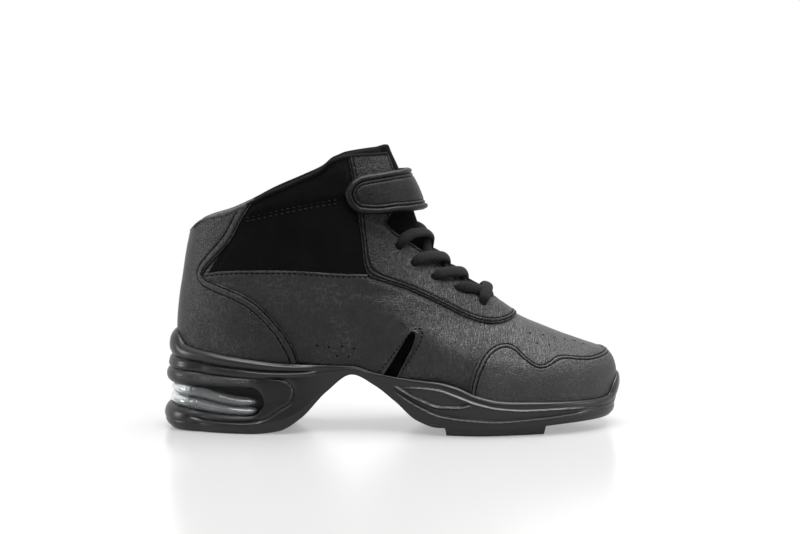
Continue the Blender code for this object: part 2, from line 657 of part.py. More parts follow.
def make_toe_cap(leather):
    line = walk(TOE_CAP_SEAM, 13)
    upper = round_the_front(on_side(line), on_front(TOE_CAP_FRONT), 5)
    tip = np.array([[level_of_height("rim", np.zeros(1), lift=RIM_GAP)[0], 0.0]])
    lower = round_the_front(rim_path(line[:, 0]), tip, 5)
    lower[:, 0] = level_of_height("rim", lower[:, 1], lift=RIM_GAP)
    upper[:, 0] = np.maximum(upper[:, 0], lower[:, 0] + 0.004)
    patch("toe_cap", lower, upper, 5, CLEAR, CLEAR + OVERLAY, leather)


def make_heel_counter(leather):
    edge = on_side(walk(COUNTER_SEAM, 14))
    grid = ruled(edge, inner_side(edge) + [0, 2 * np.pi], 17)
    floor = level_of_height("rim", grid[..., 1].ravel(), lift=RIM_GAP).reshape(grid.shape[:2])
    rise = (edge[:, 0] - edge[0, 0]) / (edge[-1, 0] - edge[0, 0])
    level, angle = floor + (COLLAR_EDGE - floor) * rise, grid[..., 1]
    ones = np.ones_like(level)
    under, over = over_last(level, angle, LAY_GAP * ones), over_last(level, angle, (LAY_GAP + OVERLAY) * ones)
    slab("heel_counter", under, over, leather)


def make_eyestay(leather):
    outer = round_the_front(on_side(walk(EYESTAY_SEAM, 17)), on_front(EYESTAY_FRONT), 3)
    level = np.concatenate([np.linspace(COLLAR_EDGE, 0.45, 12), np.linspace(0.43, EYESTAY_LEVEL, 5)])
    edge = np.column_stack([level, throat_angle(level) + EYESTAY_BACK / 30.0])
    front = np.array([[EYESTAY_LEVEL, 0.0]])
    inner = round_the_front(edge, front, 3)
    patch("eyestay", inner, outer, 4, LAY_GAP, LAY_GAP + OVERLAY, leather)


def make_cuffs(cloth):
    rear, front = on_side(walk(CUFF_REAR, 8)), on_side(walk(CUFF_FRONT, 8))
    rear[-1, 0] = front[-1, 0] = COLLAR_EDGE
    patch("cuff_lateral", rear, front, 8, CLEAR, CLEAR + CUFF_THICK, cloth)
    patch("cuff_medial", inner_side(rear), inner_side(front), 8, CLEAR, CLEAR + CUFF_THICK, cloth)


def make_tongue(cloth):
    """A padded tongue under the throat's edges, with a crown in the opening and a rounded top."""
    rows = np.array([0.0, 0.07, 0.14, 0.23, 0.34, 0.45, 0.58, 0.71, 0.83, 0.93, 1.0])
    across = np.linspace(-1, 1, 13)
    level = TONGUE_ROOT + rows[:, None] * (TONGUE_TOP - TONGUE_ROOT - TONGUE_SLOPE * across ** 2)
    reach = read_pairs(TONGUE_REACH, level[:, 6])
    angle = np.zeros_like(level)
    turn = np.linspace(0, 1.8, 200)
    for r, wide in enumerate(reach):
        y = last_point(np.full(200, level[r, 6]), turn)[:, 1]
        angle[r] = across * np.interp(wide, y[0] - y, turn)
    opening = read_pairs(THROAT_LINE, np.maximum(level.ravel(), THROAT_LEVEL)).reshape(level.shape)
    y = np.abs(last_point(level, angle)[..., 1] - last_point(level, 0 * angle)[..., 1])
    crown = np.clip(1 - y / np.maximum(opening - 1.5, 1.0), 0, 1)
    crown = crown * np.clip((level - THROAT_LEVEL - 0.02) / 0.05, 0, 1)
    top = TONGUE_CROWN * crown * (2 - crown) - WALL - CLEAR
    slab("tongue", over_last(level, angle, top - TONGUE_THICK), over_last(level, angle, top), cloth)


def make_strap(leather):
    low = round_the_front(on_side(walk(STRAP_LOW, 9)), on_front(STRAP_FRONT_LOW_X), 6)
    high = round_the_front(on_side(walk(STRAP_HIGH, 9)), on_front(STRAP_FRONT_HIGH_X), 6)
    grid = ruled(low, high, 3)
    level, angle = grid[..., 0], grid[..., 1]
    bulge = np.linspace(*STRAP_BULGE, len(grid))[:, None]
    base = LAY_GAP + OVERLAY + CLEAR + bulge * np.clip(1 - np.abs(angle), 0, 1)
    slab("strap", over_last(level, angle, base), over_last(level, angle, base + STRAP_THICK), leather)


def make_strand(name, start, end, lift, look):
    """A stretch of lace over the throat from one eyelet to another."""
    share = np.linspace(0, 1, 5)
    path = start[None] * (1 - share[:, None]) + end[None] * share[:, None]
    rise = LAY_GAP + OVERLAY + CLEAR + LACE_WIDTH / 2 + lift * np.sin(np.pi * share)
    points = over_last(path[:, 0], path[:, 1], rise)
    curve = bpy.data.curves.new(name, "CURVE")
    curve.dimensions = "3D"
    curve.bevel_depth = LACE_WIDTH / 2 * MM
    curve.bevel_resolution = 1
    curve.use_fill_caps = True
    spline = curve.splines.new("POLY")
    spline.points.add(len(points) - 1)
    for slot, point in zip(spline.points, points):
        slot.co = (*((point + CENTRE) * MM), 1.0)
    shape = bpy.data.objects.new(name, curve)
    bpy.context.scene.collection.objects.link(shape)
    graph = bpy.context.evaluated_depsgraph_get()
    mesh = bpy.data.meshes.new_from_object(shape.evaluated_get(graph))
    bpy.data.objects.remove(shape)
    mesh.materials.append(look)
    made = bpy.data.objects.new(name, mesh)
    bpy.context.scene.collection.objects.link(made)
    return made


def make_lace(cloth):
    """A bar over the lowest eyelets and a crossing over each pair above it, joined into one piece."""
    outer = on_side(EYELETS)
    inner = inner_side(outer)
    lace = make_strand("lace", outer[0], inner[0], LACE_UNDER, cloth)
    for k in range(len(EYELETS) - 1):
        for side, start, end, lift in (("over", inner[k], outer[k + 1], LACE_OVER),
                                       ("under", outer[k], inner[k + 1], LACE_UNDER)):
            strand = make_strand(f"strand_{side}_{k + 1}", start, end, lift, cloth)
            strand.hide_render = True
            strand.display_type = "WIRE"
            union = lace.modifiers.new("Join", "BOOLEAN")
            union.object = strand
            union.operation = "UNION"


def main():
    for old in list(bpy.data.objects):
        bpy.data.objects.remove(old)
    leather = material("black_leather", LEATHER, 0.5)
    cloth = material("black_cloth", CLOTH, 0.95)
    rubber = material("black_rubber", RUBBER, 0.55)
    plastic = material("clear_plastic", CLEAR_PLASTIC, 0.1)
    make_sole(rubber)
    make_heel_cell(plastic)
    make_insole(cloth)
    make_upper(leather)
    make_gores(cloth)
    make_toe_cap(leather)
    make_heel_counter(leather)
    make_eyestay(leather)
    make_cuffs(cloth)
    make_tongue(cloth)
    make_strap(leather)
    make_lace(cloth)


main()
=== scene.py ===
# %% [markdown]
# # A black high-top dance sneaker, right foot
#
# The solids of this shoe already have their true shape and size. This lesson dresses them: it
# lays fine skins over the same form, sews them together with modelled thread, runs the lace
# through its eyelets and gives every piece its finish. Its seams are finer than the solids' own, and
# below the strap its throat is a little wider. Sizes are in millimetres until a mesh is placed; +X is
# the toe, -Y the outer side and +Z is up.

# %% Load the solids
from collections import namedtuple

import bpy
import numpy as np
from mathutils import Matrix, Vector


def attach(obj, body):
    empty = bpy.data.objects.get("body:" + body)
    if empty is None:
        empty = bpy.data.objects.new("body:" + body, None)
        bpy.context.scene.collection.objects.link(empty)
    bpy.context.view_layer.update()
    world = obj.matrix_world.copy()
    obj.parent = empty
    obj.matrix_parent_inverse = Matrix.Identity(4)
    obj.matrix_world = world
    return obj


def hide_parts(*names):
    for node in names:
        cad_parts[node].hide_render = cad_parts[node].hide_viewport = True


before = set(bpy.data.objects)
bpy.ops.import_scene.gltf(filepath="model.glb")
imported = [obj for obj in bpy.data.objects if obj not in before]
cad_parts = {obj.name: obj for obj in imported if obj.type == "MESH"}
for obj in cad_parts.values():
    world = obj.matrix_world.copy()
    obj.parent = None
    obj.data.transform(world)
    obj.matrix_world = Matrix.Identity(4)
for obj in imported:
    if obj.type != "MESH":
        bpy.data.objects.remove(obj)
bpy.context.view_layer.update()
MM = 0.001
CENTRE = np.array([-0.4, -0.35, 0.0])     # moves the last's own origin to the middle of the solids
print("solids:", ", ".join(sorted(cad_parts)))

# %% [markdown]
# ## Smooth lines from short tables
#
# A shoe is drawn as curves: the seat of the foot, the rim of the sole, the collar. A short table
# with a smooth curve through it is easier to read and to change than a long list of points. The
# curve used here never overshoots its points, so a flat stretch stays flat.

# %% Curves through tables

def read_curve(places, values, at):
    """A smooth curve through (places, values), read at each item of at."""
    places = np.asarray(places, float)
    at = np.atleast_1d(np.asarray(at, float))
    values = np.asarray(values, float)
    if values.ndim == 1:
        values = np.repeat(values[:, None], len(at), axis=1)
    step = np.diff(places)[:, None]
    slope = np.diff(values, axis=0) / step
    tangent = np.vstack([slope[:1], slope])
    before, after = slope[:-1], slope[1:]
    weight_a, weight_b = 2 * step[1:] + step[:-1], step[1:] + 2 * step[:-1]
    with np.errstate(divide="ignore", invalid="ignore"):
        mean = (weight_a + weight_b) / (weight_a / before + weight_b / after)
    tangent[1:-1] = np.where(before * after > 0, mean, 0.0)
    tangent[-1] = slope[-1]
    index = np.clip(np.searchsorted(places, at) - 1, 0, len(places) - 2)
    column = np.arange(len(at))
    width = step[index, 0]
    t = np.clip((at - places[index]) / width, -0.5, 1.5)
    start, end = values[index, column], values[index + 1, column]
    leave, arrive = tangent[index, column] * width, tangent[index + 1, column] * width
    return (start * (1 + 2 * t) * (1 - t) ** 2 + leave * t * (1 - t) ** 2
            + end * t * t * (3 - 2 * t) + arrive * t * t * (t - 1))


def read_pairs(pairs, at):
    """The second number of each pair as a smooth function of the first, for any shape of at."""
    places, values = zip(*pairs)
    at = np.asarray(at, float)
    return read_curve(places, values, at.ravel()).reshape(at.shape)


def walk(points, count):
    """count points spread evenly along the smooth line through the points."""
    points = np.asarray(points, float)
    along = np.concatenate([[0.0], np.cumsum(np.linalg.norm(np.diff(points, axis=0), axis=1))])
    at = np.linspace(0.0, along[-1], count)
    return np.column_stack([read_curve(along, points[:, axis], at) for axis in range(points.shape[1])])


def soft_step(value, low, high):
    """0 below low, 1 above high, and a smooth rise between them."""
    t = np.clip((value - low) / (high - low), 0, 1)
    return t * t * (3 - 2 * t)


# %% [markdown]
# ## The last
#
# A shoemaker pulls the upper over a last, a form of the foot. Here the last is a function: a
# level from the seat (0) to the collar (1) and an angle round the foot give one point of it. Every
# leather piece below is placed by level and angle, so all of them fit the same foot, as they do in
# the workshop.

# %% The side view of the sole and the last
SoleRow = namedtuple("SoleRow", "x seat rim groove low_groove window_top window_low ledge tread")
SOLE_ROWS = [SoleRow(*row) for row in (
    (-128, 40.0, 60.0, 44.7, 37.0, 27.4, 16.6, 7.0, 2.6),
    (-124, 39.6, 56.4, 43.6, 36.4, 27.2, 15.4, 6.4, 1.2),
    (-118, 39.2, 49.0, 42.0, 35.6, 27.2, 13.4, 6.0, 0.0),
    (-102, 38.6, 45.2, 39.2, 33.6, 27.2, 10.4, 5.4, 0.0),
    (-80, 38.0, 41.7, 36.8, 32.0, 27.0, 9.6, 5.6, 0.0),
    (-66, 37.6, 39.9, 35.8, 31.6, 25.6, 12.6, 8.0, 1.4),
    (-52, 37.3, 38.9, 35.6, 32.2, 26.6, 19.0, 14.0, 9.0),
    (-38, 37.0, 38.3, 36.4, 34.2, 30.0, 28.0, 26.4, 23.6),
    (-23, 36.7, 38.1, 37.3, 36.5, 35.8, 35.2, 34.8, 34.0),
    (-10, 31.6, 34.4, 33.2, 32.0, 30.6, 29.8, 29.0, 27.8),
    (2, 26.0, 32.2, 28.0, 24.8, 22.6, 21.4, 20.2, 18.4),
    (14, 20.2, 31.0, 26.9, 17.2, 13.4, 11.8, 10.2, 8.0),
    (26, 14.9, 30.3, 26.6, 11.8, 9.2, 7.8, 6.4, 4.2),
    (36, 11.8, 28.0, 23.6, 10.2, 7.6, 5.6, 3.4, 4.2),
    (48, 9.6, 23.0, 18.8, 9.2, 7.0, 5.2, 3.2, 4.2),
    (62, 8.6, 19.7, 16.0, 8.5, 6.8, 5.2, 3.2, 4.2),
    (82, 8.2, 18.6, 14.8, 9.6, 7.8, 6.2, 4.4, 4.4),
    (100, 9.0, 17.9, 14.6, 11.0, 9.4, 8.4, 7.2, 5.2),
    (116, 10.8, 17.7, 14.2, 12.2, 10.8, 9.8, 8.6, 6.2),
    (124, 12.4, 18.8, 15.0, 12.8, 11.4, 10.4, 9.2, 6.8),
    (128, 13.6, 26.0, 18.4, 14.6, 12.2, 11.0, 9.6, 7.2),
    (131, 14.2, 31.0, 21.0, 16.0, 12.8, 11.2, 9.8, 7.4),
)]
FRONT_LINE = [
    (125.6, 12.5), (128.2, 19.0), (130.0, 26.0), (130.6, 32.5), (129.4, 38.2), (126.8, 42.4),
    (121.6, 46.0), (115.0, 48.1), (108.0, 50.5), (100.0, 53.4), (93.0, 56.4), (86.0, 59.4),
    (80.0, 61.9), (75.0, 64.3), (69.0, 68.0), (62.0, 72.8), (50.0, 80.4), (38.0, 88.2), (27.0, 97.6),
    (19.0, 108.5), (14.0, 118.5), (10.5, 129.0), (6.0, 142.5), (1.5, 153.5), (-1.5, 160.0), (-6.0, 172.0),
]
HEEL_LINE = [
    (-121.0, 39.5), (-123.6, 48.0), (-124.6, 60.0), (-123.4, 76.0), (-121.0, 92.0),
    (-118.8, 105.0), (-116.8, 114.5), (-114.5, 124.0),
]
COLLAR_LINE = [
    (-124.0, 108.0), (-117.0, 114.3), (-110.0, 120.6), (-95.0, 125.4), (-83.5, 130.4), (-70.0, 137.4),
    (-52.0, 145.2), (-41.0, 150.4), (-34.5, 155.6), (-25.0, 158.4), (-3.0, 159.4), (20.0, 166.0),
    (60.0, 178.0), (135.0, 197.0),
]
SWING_FADE = 0.8
SWING_LINE = [(-130, 0.0), (-60, -1.0), (0, -3.0), (40, -1.2), (80, 3.2), (110, 7.2), (132, 9.4)]

# %% The girths of the last
HALF_BALL = 46.0
GirthRow = namedtuple("GirthRow", "level back heel waist instep ball fore front corner")
GIRTH_PLACES = [0.0, 0.12, 0.30, 0.50, 0.72, 0.88, 1.0]
GIRTH_ROWS = [GirthRow(*row) for row in (
    (0.00, 0.74, 0.76, 0.62, 0.66, 0.95, 0.97, 0.95, 2.7),
    (0.06, 0.79, 0.80, 0.68, 0.72, 1.01, 1.03, 1.00, 2.7),
    (0.13, 0.80, 0.80, 0.73, 0.77, 1.01, 1.03, 1.00, 2.7),
    (0.22, 0.78, 0.79, 0.74, 0.79, 0.98, 0.97, 0.92, 2.6),
    (0.34, 0.74, 0.76, 0.74, 0.79, 0.87, 0.87, 0.84, 2.5),
    (0.50, 0.68, 0.71, 0.73, 0.76, 0.78, 0.76, 0.72, 2.4),
    (0.70, 0.63, 0.67, 0.72, 0.74, 0.74, 0.70, 0.67, 2.3),
    (1.00, 0.63, 0.68, 0.74, 0.76, 0.74, 0.68, 0.65, 2.2),
    (1.12, 0.63, 0.68, 0.74, 0.76, 0.74, 0.68, 0.65, 2.2),
)]
TOP_LEVEL = 0.998         # where pieces end below the collar's roll
THROAT_LEVEL = 0.39
THROAT_LINE = [
    (0.39, 0.0), (0.396, 4.0), (0.41, 7.0), (0.45, 9.6), (0.50, 11.6), (0.58, 15.5), (0.62, 18.6),
    (0.665, 22.2), (0.69, 23.4), (0.71, 23.4), (0.74, 20.5), (0.78, 16.6), (0.82, 14.0), (0.90, 10.5),
    (1.0, 9.5), (1.2, 9.5),
]
LINE_POINTS = 300
HALVINGS = 40             # how often a search halves the range it looks in


def sole_height(column, x):
    return read_curve([row.x for row in SOLE_ROWS], [getattr(row, column) for row in SOLE_ROWS], x)


def level_at(x, z):
    """Share of the way from the sole seat up to the collar line."""
    seat, collar = sole_height("seat", x), read_pairs(COLLAR_LINE, x)
    return (z - seat) / (collar - seat)


def line_by_level(line):
    points = walk(line, LINE_POINTS)
    return np.maximum.accumulate(level_at(points[:, 0], points[:, 1])), points[:, 0]


FRONT_LEVELS, FRONT_X = line_by_level(FRONT_LINE)
HEEL_LEVELS, HEEL_X = line_by_level(HEEL_LINE)


def corner_at(level):
    return read_curve([row.level for row in GIRTH_ROWS], [row.corner for row in GIRTH_ROWS], level)


def half_width(level, place):
    rows = np.array([read_curve(GIRTH_PLACES, row[1:-1], place) for row in GIRTH_ROWS])
    return HALF_BALL * read_curve([row.level for row in GIRTH_ROWS], rows, level)


# %% Points and directions on the last

def last_point(level, angle):
    """Points of the last. Angle 0 is its front line, pi its heel line, and 0 to pi the outer side."""
    level, angle = np.broadcast_arrays(np.asarray(level, float), np.asarray(angle, float))
    shape = level.shape
    level, angle = level.ravel(), angle.ravel()
    corner = corner_at(level)
    along = np.sign(np.cos(angle)) * np.abs(np.cos(angle)) ** (2 / corner)
    across = np.sign(np.sin(angle)) * np.abs(np.sin(angle)) ** (2 / corner)
    place = (1 + along) / 2
    rear = np.interp(level, HEEL_LEVELS, HEEL_X)
    front = np.interp(level, FRONT_LEVELS, FRONT_X)
    x = rear + (front - rear) * place
    seat, collar = sole_height("seat", x), read_pairs(COLLAR_LINE, x)
    z = seat + level * (collar - seat)
    swing = read_pairs(SWING_LINE, x) * (1 - SWING_FADE * np.clip(level, 0, 1))
    y = swing - half_width(level, place) * across
    return np.stack([x, y, z], axis=-1).reshape(shape + (3,))


def unit(vectors):
    return vectors / np.maximum(np.linalg.norm(vectors, axis=-1, keepdims=True), 1e-9)


SMALL = 0.004             # the step of level or angle that measures a slope


def last_slopes(level, angle):
    """How a point of the last moves with its level and with its angle."""
    low, high = np.maximum(level - SMALL, 0.0), level + SMALL
    rise = (last_point(high, angle) - last_point(low, angle)) / (high - low)[..., None]
    turn = (last_point(level, angle + SMALL) - last_point(level, angle - SMALL)) / (2 * SMALL)
    return rise, turn


def last_normal(level, angle):
    return unit(np.cross(*last_slopes(level, angle)))


def over_last(level, angle, offset):
    return last_point(level, angle) + last_normal(level, angle) * np.asarray(offset, float)[..., None]


def on_side(points):
    """(level, angle) of side-view points on the outer side."""
    points = np.asarray(points, float)
    level = level_at(points[:, 0], points[:, 1])
    rear = np.interp(level, HEEL_LEVELS, HEEL_X)
    front = np.interp(level, FRONT_LEVELS, FRONT_X)
    along = np.clip(2 * (points[:, 0] - rear) / (front - rear) - 1, -1, 1)
    return np.column_stack([level, np.arccos(np.sign(along) * np.abs(along) ** (corner_at(level) / 2))])


def on_front(x):
    """(level, angle) of the point of the front line above x."""
    foremost = np.argmax(FRONT_X)
    return np.array([[np.interp(-x, -FRONT_X[foremost:], FRONT_LEVELS[foremost:]), 0.0]])


def inner_side(path):
    return path * [1, -1]


def throat_angle(level):
    """The angle at which a ring meets the throat's edge."""
    opening = read_pairs(THROAT_LINE, np.maximum(level, THROAT_LEVEL))
    low, high = np.zeros_like(level), np.full_like(level, 1.4)
    for _ in range(HALVINGS):
        middle = (low + high) / 2
        wide = last_point(level, 0 * level)[:, 1] - last_point(level, middle)[:, 1] > opening
        high, low = np.where(wide, middle, high), np.where(wide, low, middle)
    return np.where(level <= THROAT_LEVEL, 0.0, high)


FINE_STEPS, SPACING_LEVEL = 2000, 0.1


def round_angles(count, ends=1.0):
    """Angles from 0 to pi that space points along the outer side, closer at the toe and the heel."""
    angle = np.linspace(0, np.pi, FINE_STEPS + 1)
    length = np.linalg.norm(np.diff(last_point(np.full_like(angle, SPACING_LEVEL), angle), axis=0), axis=1)
    closer = np.abs(np.cos(angle[1:] - 0.5 * np.pi / FINE_STEPS)) ** 4
    run = np.concatenate([[0.0], np.cumsum(length * (1 + ends * closer))])
    return np.interp(np.linspace(0, run[-1], count), run, angle)


print("ball width %.1f mm" % (2 * half_width(np.array([0.06]), np.array([0.88]))[0]))

# %% [markdown]
# ## Grids shaped by the last
#
# Blender's grid primitive is a sheet of rows and columns. Setting its vertices on the last makes a
# skin with clean rows, ready for a thickness from Solidify. A closed form, such as the sole, is a
# grid whose edges meet, and merging by distance sews them together.

# %% Making and finishing a piece

def select_only(piece):
    bpy.ops.object.select_all(action="DESELECT")
    piece.select_set(True)
    bpy.context.view_layer.objects.active = piece


def add_grid(name, points, outward=None, marks=None):
    """A grid whose vertices stand on rows and columns of points; outward turns its faces that way."""
    flipped = False
    if outward is not None:
        along = points[:-1, 1:] - points[:-1, :-1]
        across = points[1:, :-1] - points[:-1, :-1]
        flipped = (np.cross(along, across) * outward[:-1, :-1]).sum() < 0
    if flipped:
        points = points[:, ::-1]
    rows, columns = points.shape[:2]
    bpy.ops.object.select_all(action="DESELECT")
    bpy.ops.mesh.primitive_grid_add(x_subdivisions=columns - 1, y_subdivisions=rows - 1, size=1.0)
    piece = bpy.context.object
    piece.name = piece.data.name = name
    placed = ((points.reshape(-1, 3) + CENTRE) * MM).astype(np.float32)
    piece.data.vertices.foreach_set("co", placed.ravel())
    for mark, values in (marks or {}).items():
        attribute = piece.data.attributes.new(mark, "FLOAT", "POINT")
        values = values[:, ::-1] if flipped else values
        attribute.data.foreach_set("value", values.ravel().astype(np.float32))
    piece.data.update()
    return piece


def in_edit_mode(piece, *steps):
    """Runs edit-mode operators on the whole of a piece."""
    select_only(piece)
    bpy.ops.object.mode_set(mode="EDIT")
    bpy.ops.mesh.select_all(action="SELECT")
    for step in steps:
        step()
    bpy.ops.object.mode_set(mode="OBJECT")


def merge_points():
    bpy.ops.mesh.remove_doubles(threshold=0.00002)


def close_ends():
    bpy.ops.mesh.fill_holes(sides=0)


def face_outward():
    bpy.ops.mesh.normals_make_consistent(inside=False)


def join_pieces(first, *others):
    select_only(first)
    for other in others:
        other.select_set(True)
    bpy.ops.object.join()
    return first


def apply_modifier(piece, kind, **settings):
    modifier = piece.modifiers.new(kind.title(), kind)
    for key, value in settings.items():
        setattr(modifier, key, value)
    select_only(piece)
    bpy.ops.object.modifier_apply(modifier=modifier.name)


def thicken(piece, wall, **settings):
    """Gives a skin its wall, inward from its face."""
    apply_modifier(piece, "SOLIDIFY", thickness=wall * MM, offset=-1.0, **settings)


def finish_piece(piece, look, slot, *nodes, angle=42):
    """Shades a piece, gives it its look and lets it ride on the shoe."""
    select_only(piece)
    bpy.ops.object.shade_smooth_by_angle(angle=np.radians(angle))
    if look is not None:
        piece.data.materials.clear()
        piece.data.materials.append(look)
    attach(piece, "root")
    if nodes:
        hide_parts(*nodes)
    print(piece.name, len(piece.data.polygons), "faces")
    return piece


# %% [markdown]
# ## Finishes
#
# The real shoe is all black, so its pieces differ by their surface: pebbled leather with a soft
# sheen, brushed cloth that swallows light, satin rubber and one clear cushion. Grain and mottling
# are used by more than one finish, so each is a node group.

# %% Node helpers

def add_node(tree, kind, settings=None, sockets=None):
    made = tree.nodes.new("ShaderNode" + kind)
    for key, value in (settings or {}).items():
        setattr(made, key, value)
    for key, value in (sockets or {}).items():
        if isinstance(value, bpy.types.NodeSocket):
            tree.links.new(value, made.inputs[key])
        else:
            made.inputs[key].default_value = value
    return made


def math(tree, operation, first, second=0.0):
    return add_node(tree, "Math", {"operation": operation}, {0: first, 1: second}).outputs[0]


def map_range(tree, value, low, high, new_low=0.0, new_high=1.0):
    sockets = {"Value": value, "From Min": low, "From Max": high, "To Min": new_low, "To Max": new_high}
    return add_node(tree, "MapRange", {"interpolation_type": "SMOOTHSTEP"}, sockets).outputs["Result"]


def read_mark(tree, name):
    return add_node(tree, "Attribute", {"attribute_name": name}).outputs["Fac"]


def new_group(name, inputs, outputs):
    group = bpy.data.node_groups.new(name, "ShaderNodeTree")
    for label, kind, value in inputs:
        socket = group.interface.new_socket(label, in_out="INPUT", socket_type="NodeSocket" + kind)
        if value is not None:
            socket.default_value = value
    for label in outputs:
        group.interface.new_socket(label, in_out="OUTPUT", socket_type="NodeSocketFloat")
    return group, group.nodes.new("NodeGroupInput"), group.nodes.new("NodeGroupOutput")


def use_group(tree, group, sockets):
    return add_node(tree, "Group", {"node_tree": group}, sockets)


def noise(tree, vector, scale, detail=2.0, rough=0.5):
    sockets = {"Vector": vector, "Scale": scale, "Detail": detail, "Roughness": rough}
    return add_node(tree, "TexNoise", None, sockets).outputs["Fac"]


# %% Leather grain as a node group
PORES, STRANDS, LUMPS, DENTS = 2600.0, 760.0, 600.0, 170.0      # how many of each form a metre holds
PEBBLE_SHARE, PORE_SHARE, LUMP_SHARE = 0.22, 0.14, 0.25         # their heights, where a dent's is 1
STRETCH = (1.0, 0.14, 0.14)                                     # draws the strands out upright
WARPS, WARP_REACH = 420.0, 0.0009                               # bends per metre, and their reach
grain, grain_in, grain_out = new_group(
    "Leather grain",
    [("Vector", "Vector", None), ("Pebbles", "Float", 800.0), ("Creasing", "Float", 0.0)],
    ["Height", "Lumps"])
plain = grain_in.outputs["Vector"]
warp = add_node(grain, "TexNoise", None, {"Vector": plain, "Scale": WARPS, "Detail": 2.0}).outputs["Color"]
shift = add_node(grain, "VectorMath", {"operation": "SCALE"}, {0: warp, "Scale": WARP_REACH}).outputs[0]
warped = add_node(grain, "VectorMath", {"operation": "ADD"}, {0: plain, 1: shift}).outputs[0]
cells = add_node(grain, "TexVoronoi", {"feature": "DISTANCE_TO_EDGE"},
                 {"Vector": warped, "Scale": grain_in.outputs["Pebbles"]}).outputs["Distance"]
pebble = map_range(grain, cells, 0.0, 0.28)
pores = noise(grain, plain, PORES, 3.0, 0.6)
stretched = add_node(grain, "Mapping", None, {"Vector": warped, "Scale": STRETCH}).outputs[0]
strands = noise(grain, stretched, STRANDS, 1.0)
ridges = math(grain, "ABSOLUTE", math(grain, "SUBTRACT", strands, 0.5))
furrow = map_range(grain, ridges, 0.0, 0.1)
dents = noise(grain, plain, DENTS)
creased = math(grain, "MULTIPLY", math(grain, "SUBTRACT", furrow, 1.0), grain_in.outputs["Creasing"])
lumps = noise(grain, warped, LUMPS, 1.0)
height = math(grain, "ADD", dents, creased)
for form, share in ((pebble, PEBBLE_SHARE), (pores, PORE_SHARE), (lumps, LUMP_SHARE)):
    height = math(grain, "ADD", height, math(grain, "MULTIPLY", form, share))
grain.links.new(height, grain_out.inputs["Height"])
# Lumps tells where the lumps rise; the leather paints its pebble tops paler there as a painted highlight.
grain.links.new(map_range(grain, lumps, 0.4, 0.7), grain_out.inputs["Lumps"])
print("group:", grain.name)

# %% Mottling as a node group
mottle, mottle_in, mottle_out = new_group(
    "Soft mottling", [("Vector", "Vector", None), ("Scale", "Float", 40.0)], ["Broad", "Fine"])
mottle.links.new(noise(mottle, mottle_in.outputs["Vector"], mottle_in.outputs["Scale"], 3.0),
                 mottle_out.inputs["Broad"])
fine_scale = math(mottle, "MULTIPLY", mottle_in.outputs["Scale"], 14.0)
mottle.links.new(noise(mottle, mottle_in.outputs["Vector"], fine_scale, 2.0), mottle_out.inputs["Fine"])
print("group:", mottle.name)


# %% A material with its own Principled shader

def new_look(name, roughness, specular=0.5, sheen=0.0):
    look = bpy.data.materials.new(name)
    look.use_nodes = True
    tree = look.node_tree
    shader = tree.nodes["Principled BSDF"]
    shader.inputs["Roughness"].default_value = roughness
    shader.inputs["Specular IOR Level"].default_value = specular
    shader.inputs["Sheen Weight"].default_value = sheen
    shader.inputs["Sheen Roughness"].default_value = 0.5
    return look, tree, shader


def object_vector(tree):
    return add_node(tree, "TexCoord").outputs["Object"]


COOL = 1.035              # the blacks are a trace blue


def tint(tree, factor, dark, light):
    """A near-black that runs from dark to light with a factor."""
    ends = [(value, value, COOL * value, 1.0) for value in (dark, light)]
    return add_node(tree, "Mix", {"data_type": "RGBA"}, {0: factor, 6: ends[0], 7: ends[1]}).outputs[2]


def bump(tree, height, strength, distance):
    sockets = {"Height": height, "Strength": strength, "Distance": distance}
    return add_node(tree, "Bump", None, sockets).outputs[0]


# %% [markdown]
# ## Leather
#
# Soft full-grain leather has small pebbles parted by fine valleys. In patches the tops of its lumps
# are painted a little paler, a painted highlight where raised grain would catch the lamp. Where the foot
# bends it creases into short upright lines and shines more. The upper and the pieces laid on it carry a
# mark called flex, 1 where the shoe bends most, and the finish creases there. The strap does not bend,
# so it stays plain.

# %% Leather finishes
BURNISH = 0.3             # how much shinier the leather is where it bends
LEATHER_DARK = 0.003


def make_leather(name, pebbles, depth, rough, creasing, shine, light=0.024):
    look, tree, shader = new_look(name, rough)
    vector = object_vector(tree)
    flex = math(tree, "MULTIPLY", read_mark(tree, "flex"), creasing)
    skin = use_group(tree, grain, {"Vector": vector, "Pebbles": pebbles, "Creasing": flex})
    patches = use_group(tree, mottle, {"Vector": vector, "Scale": 45.0})
    # Paler base colour on the lumps, within broad patches, is a painted highlight on the pebble tops.
    shown = map_range(tree, patches.outputs["Broad"], 0.42, 0.66)
    shade = math(tree, "MULTIPLY", shown, skin.outputs["Lumps"])
    tree.links.new(tint(tree, shade, LEATHER_DARK, light), shader.inputs["Base Color"])
    wear_and_painted_highlight = math(tree, "MULTIPLY", math(tree, "SUBTRACT", patches.outputs["Broad"], 0.5), 0.3)
    tree.links.new(math(tree, "ADD", wear_and_painted_highlight, rough), shader.inputs["Roughness"])
    burnish = math(tree, "ADD", math(tree, "MULTIPLY", flex, BURNISH), shine)
    tree.links.new(burnish, shader.inputs["Specular IOR Level"])
    tree.links.new(bump(tree, skin.outputs["Height"], 0.9, depth), shader.inputs["Normal"])
    return look


upper_leather = make_leather("upper_leather", 900.0, 0.0006, 0.40, 0.5, 0.36)
overlay_leather = make_leather("overlay_leather", 900.0, 0.0006, 0.38, 0.25, 0.38)
cap_leather = make_leather("cap_leather", 900.0, 0.0007, 0.47, 0.2, 0.6)
facing_leather = make_leather("facing_leather", 900.0, 0.0009, 0.44, 0.7, 0.2)
strap_leather = make_leather("strap_leather", 1000.0, 0.0003, 0.40, 0.0, 0.2, light=0.012)
print("leather:", upper_leather.name, overlay_leather.name, facing_leather.name, strap_leather.name)

# %% [markdown]
# ## Cloth, thread and elastic
#
# The ankle panels and the tongue are brushed cloth: nearly black, with a faint nap at grazing
# angles. Cloth needs a rough surface, a little sheen and a fine uneven bump.

# %% Cloth finishes
NAP = 1500.0              # fibres per metre


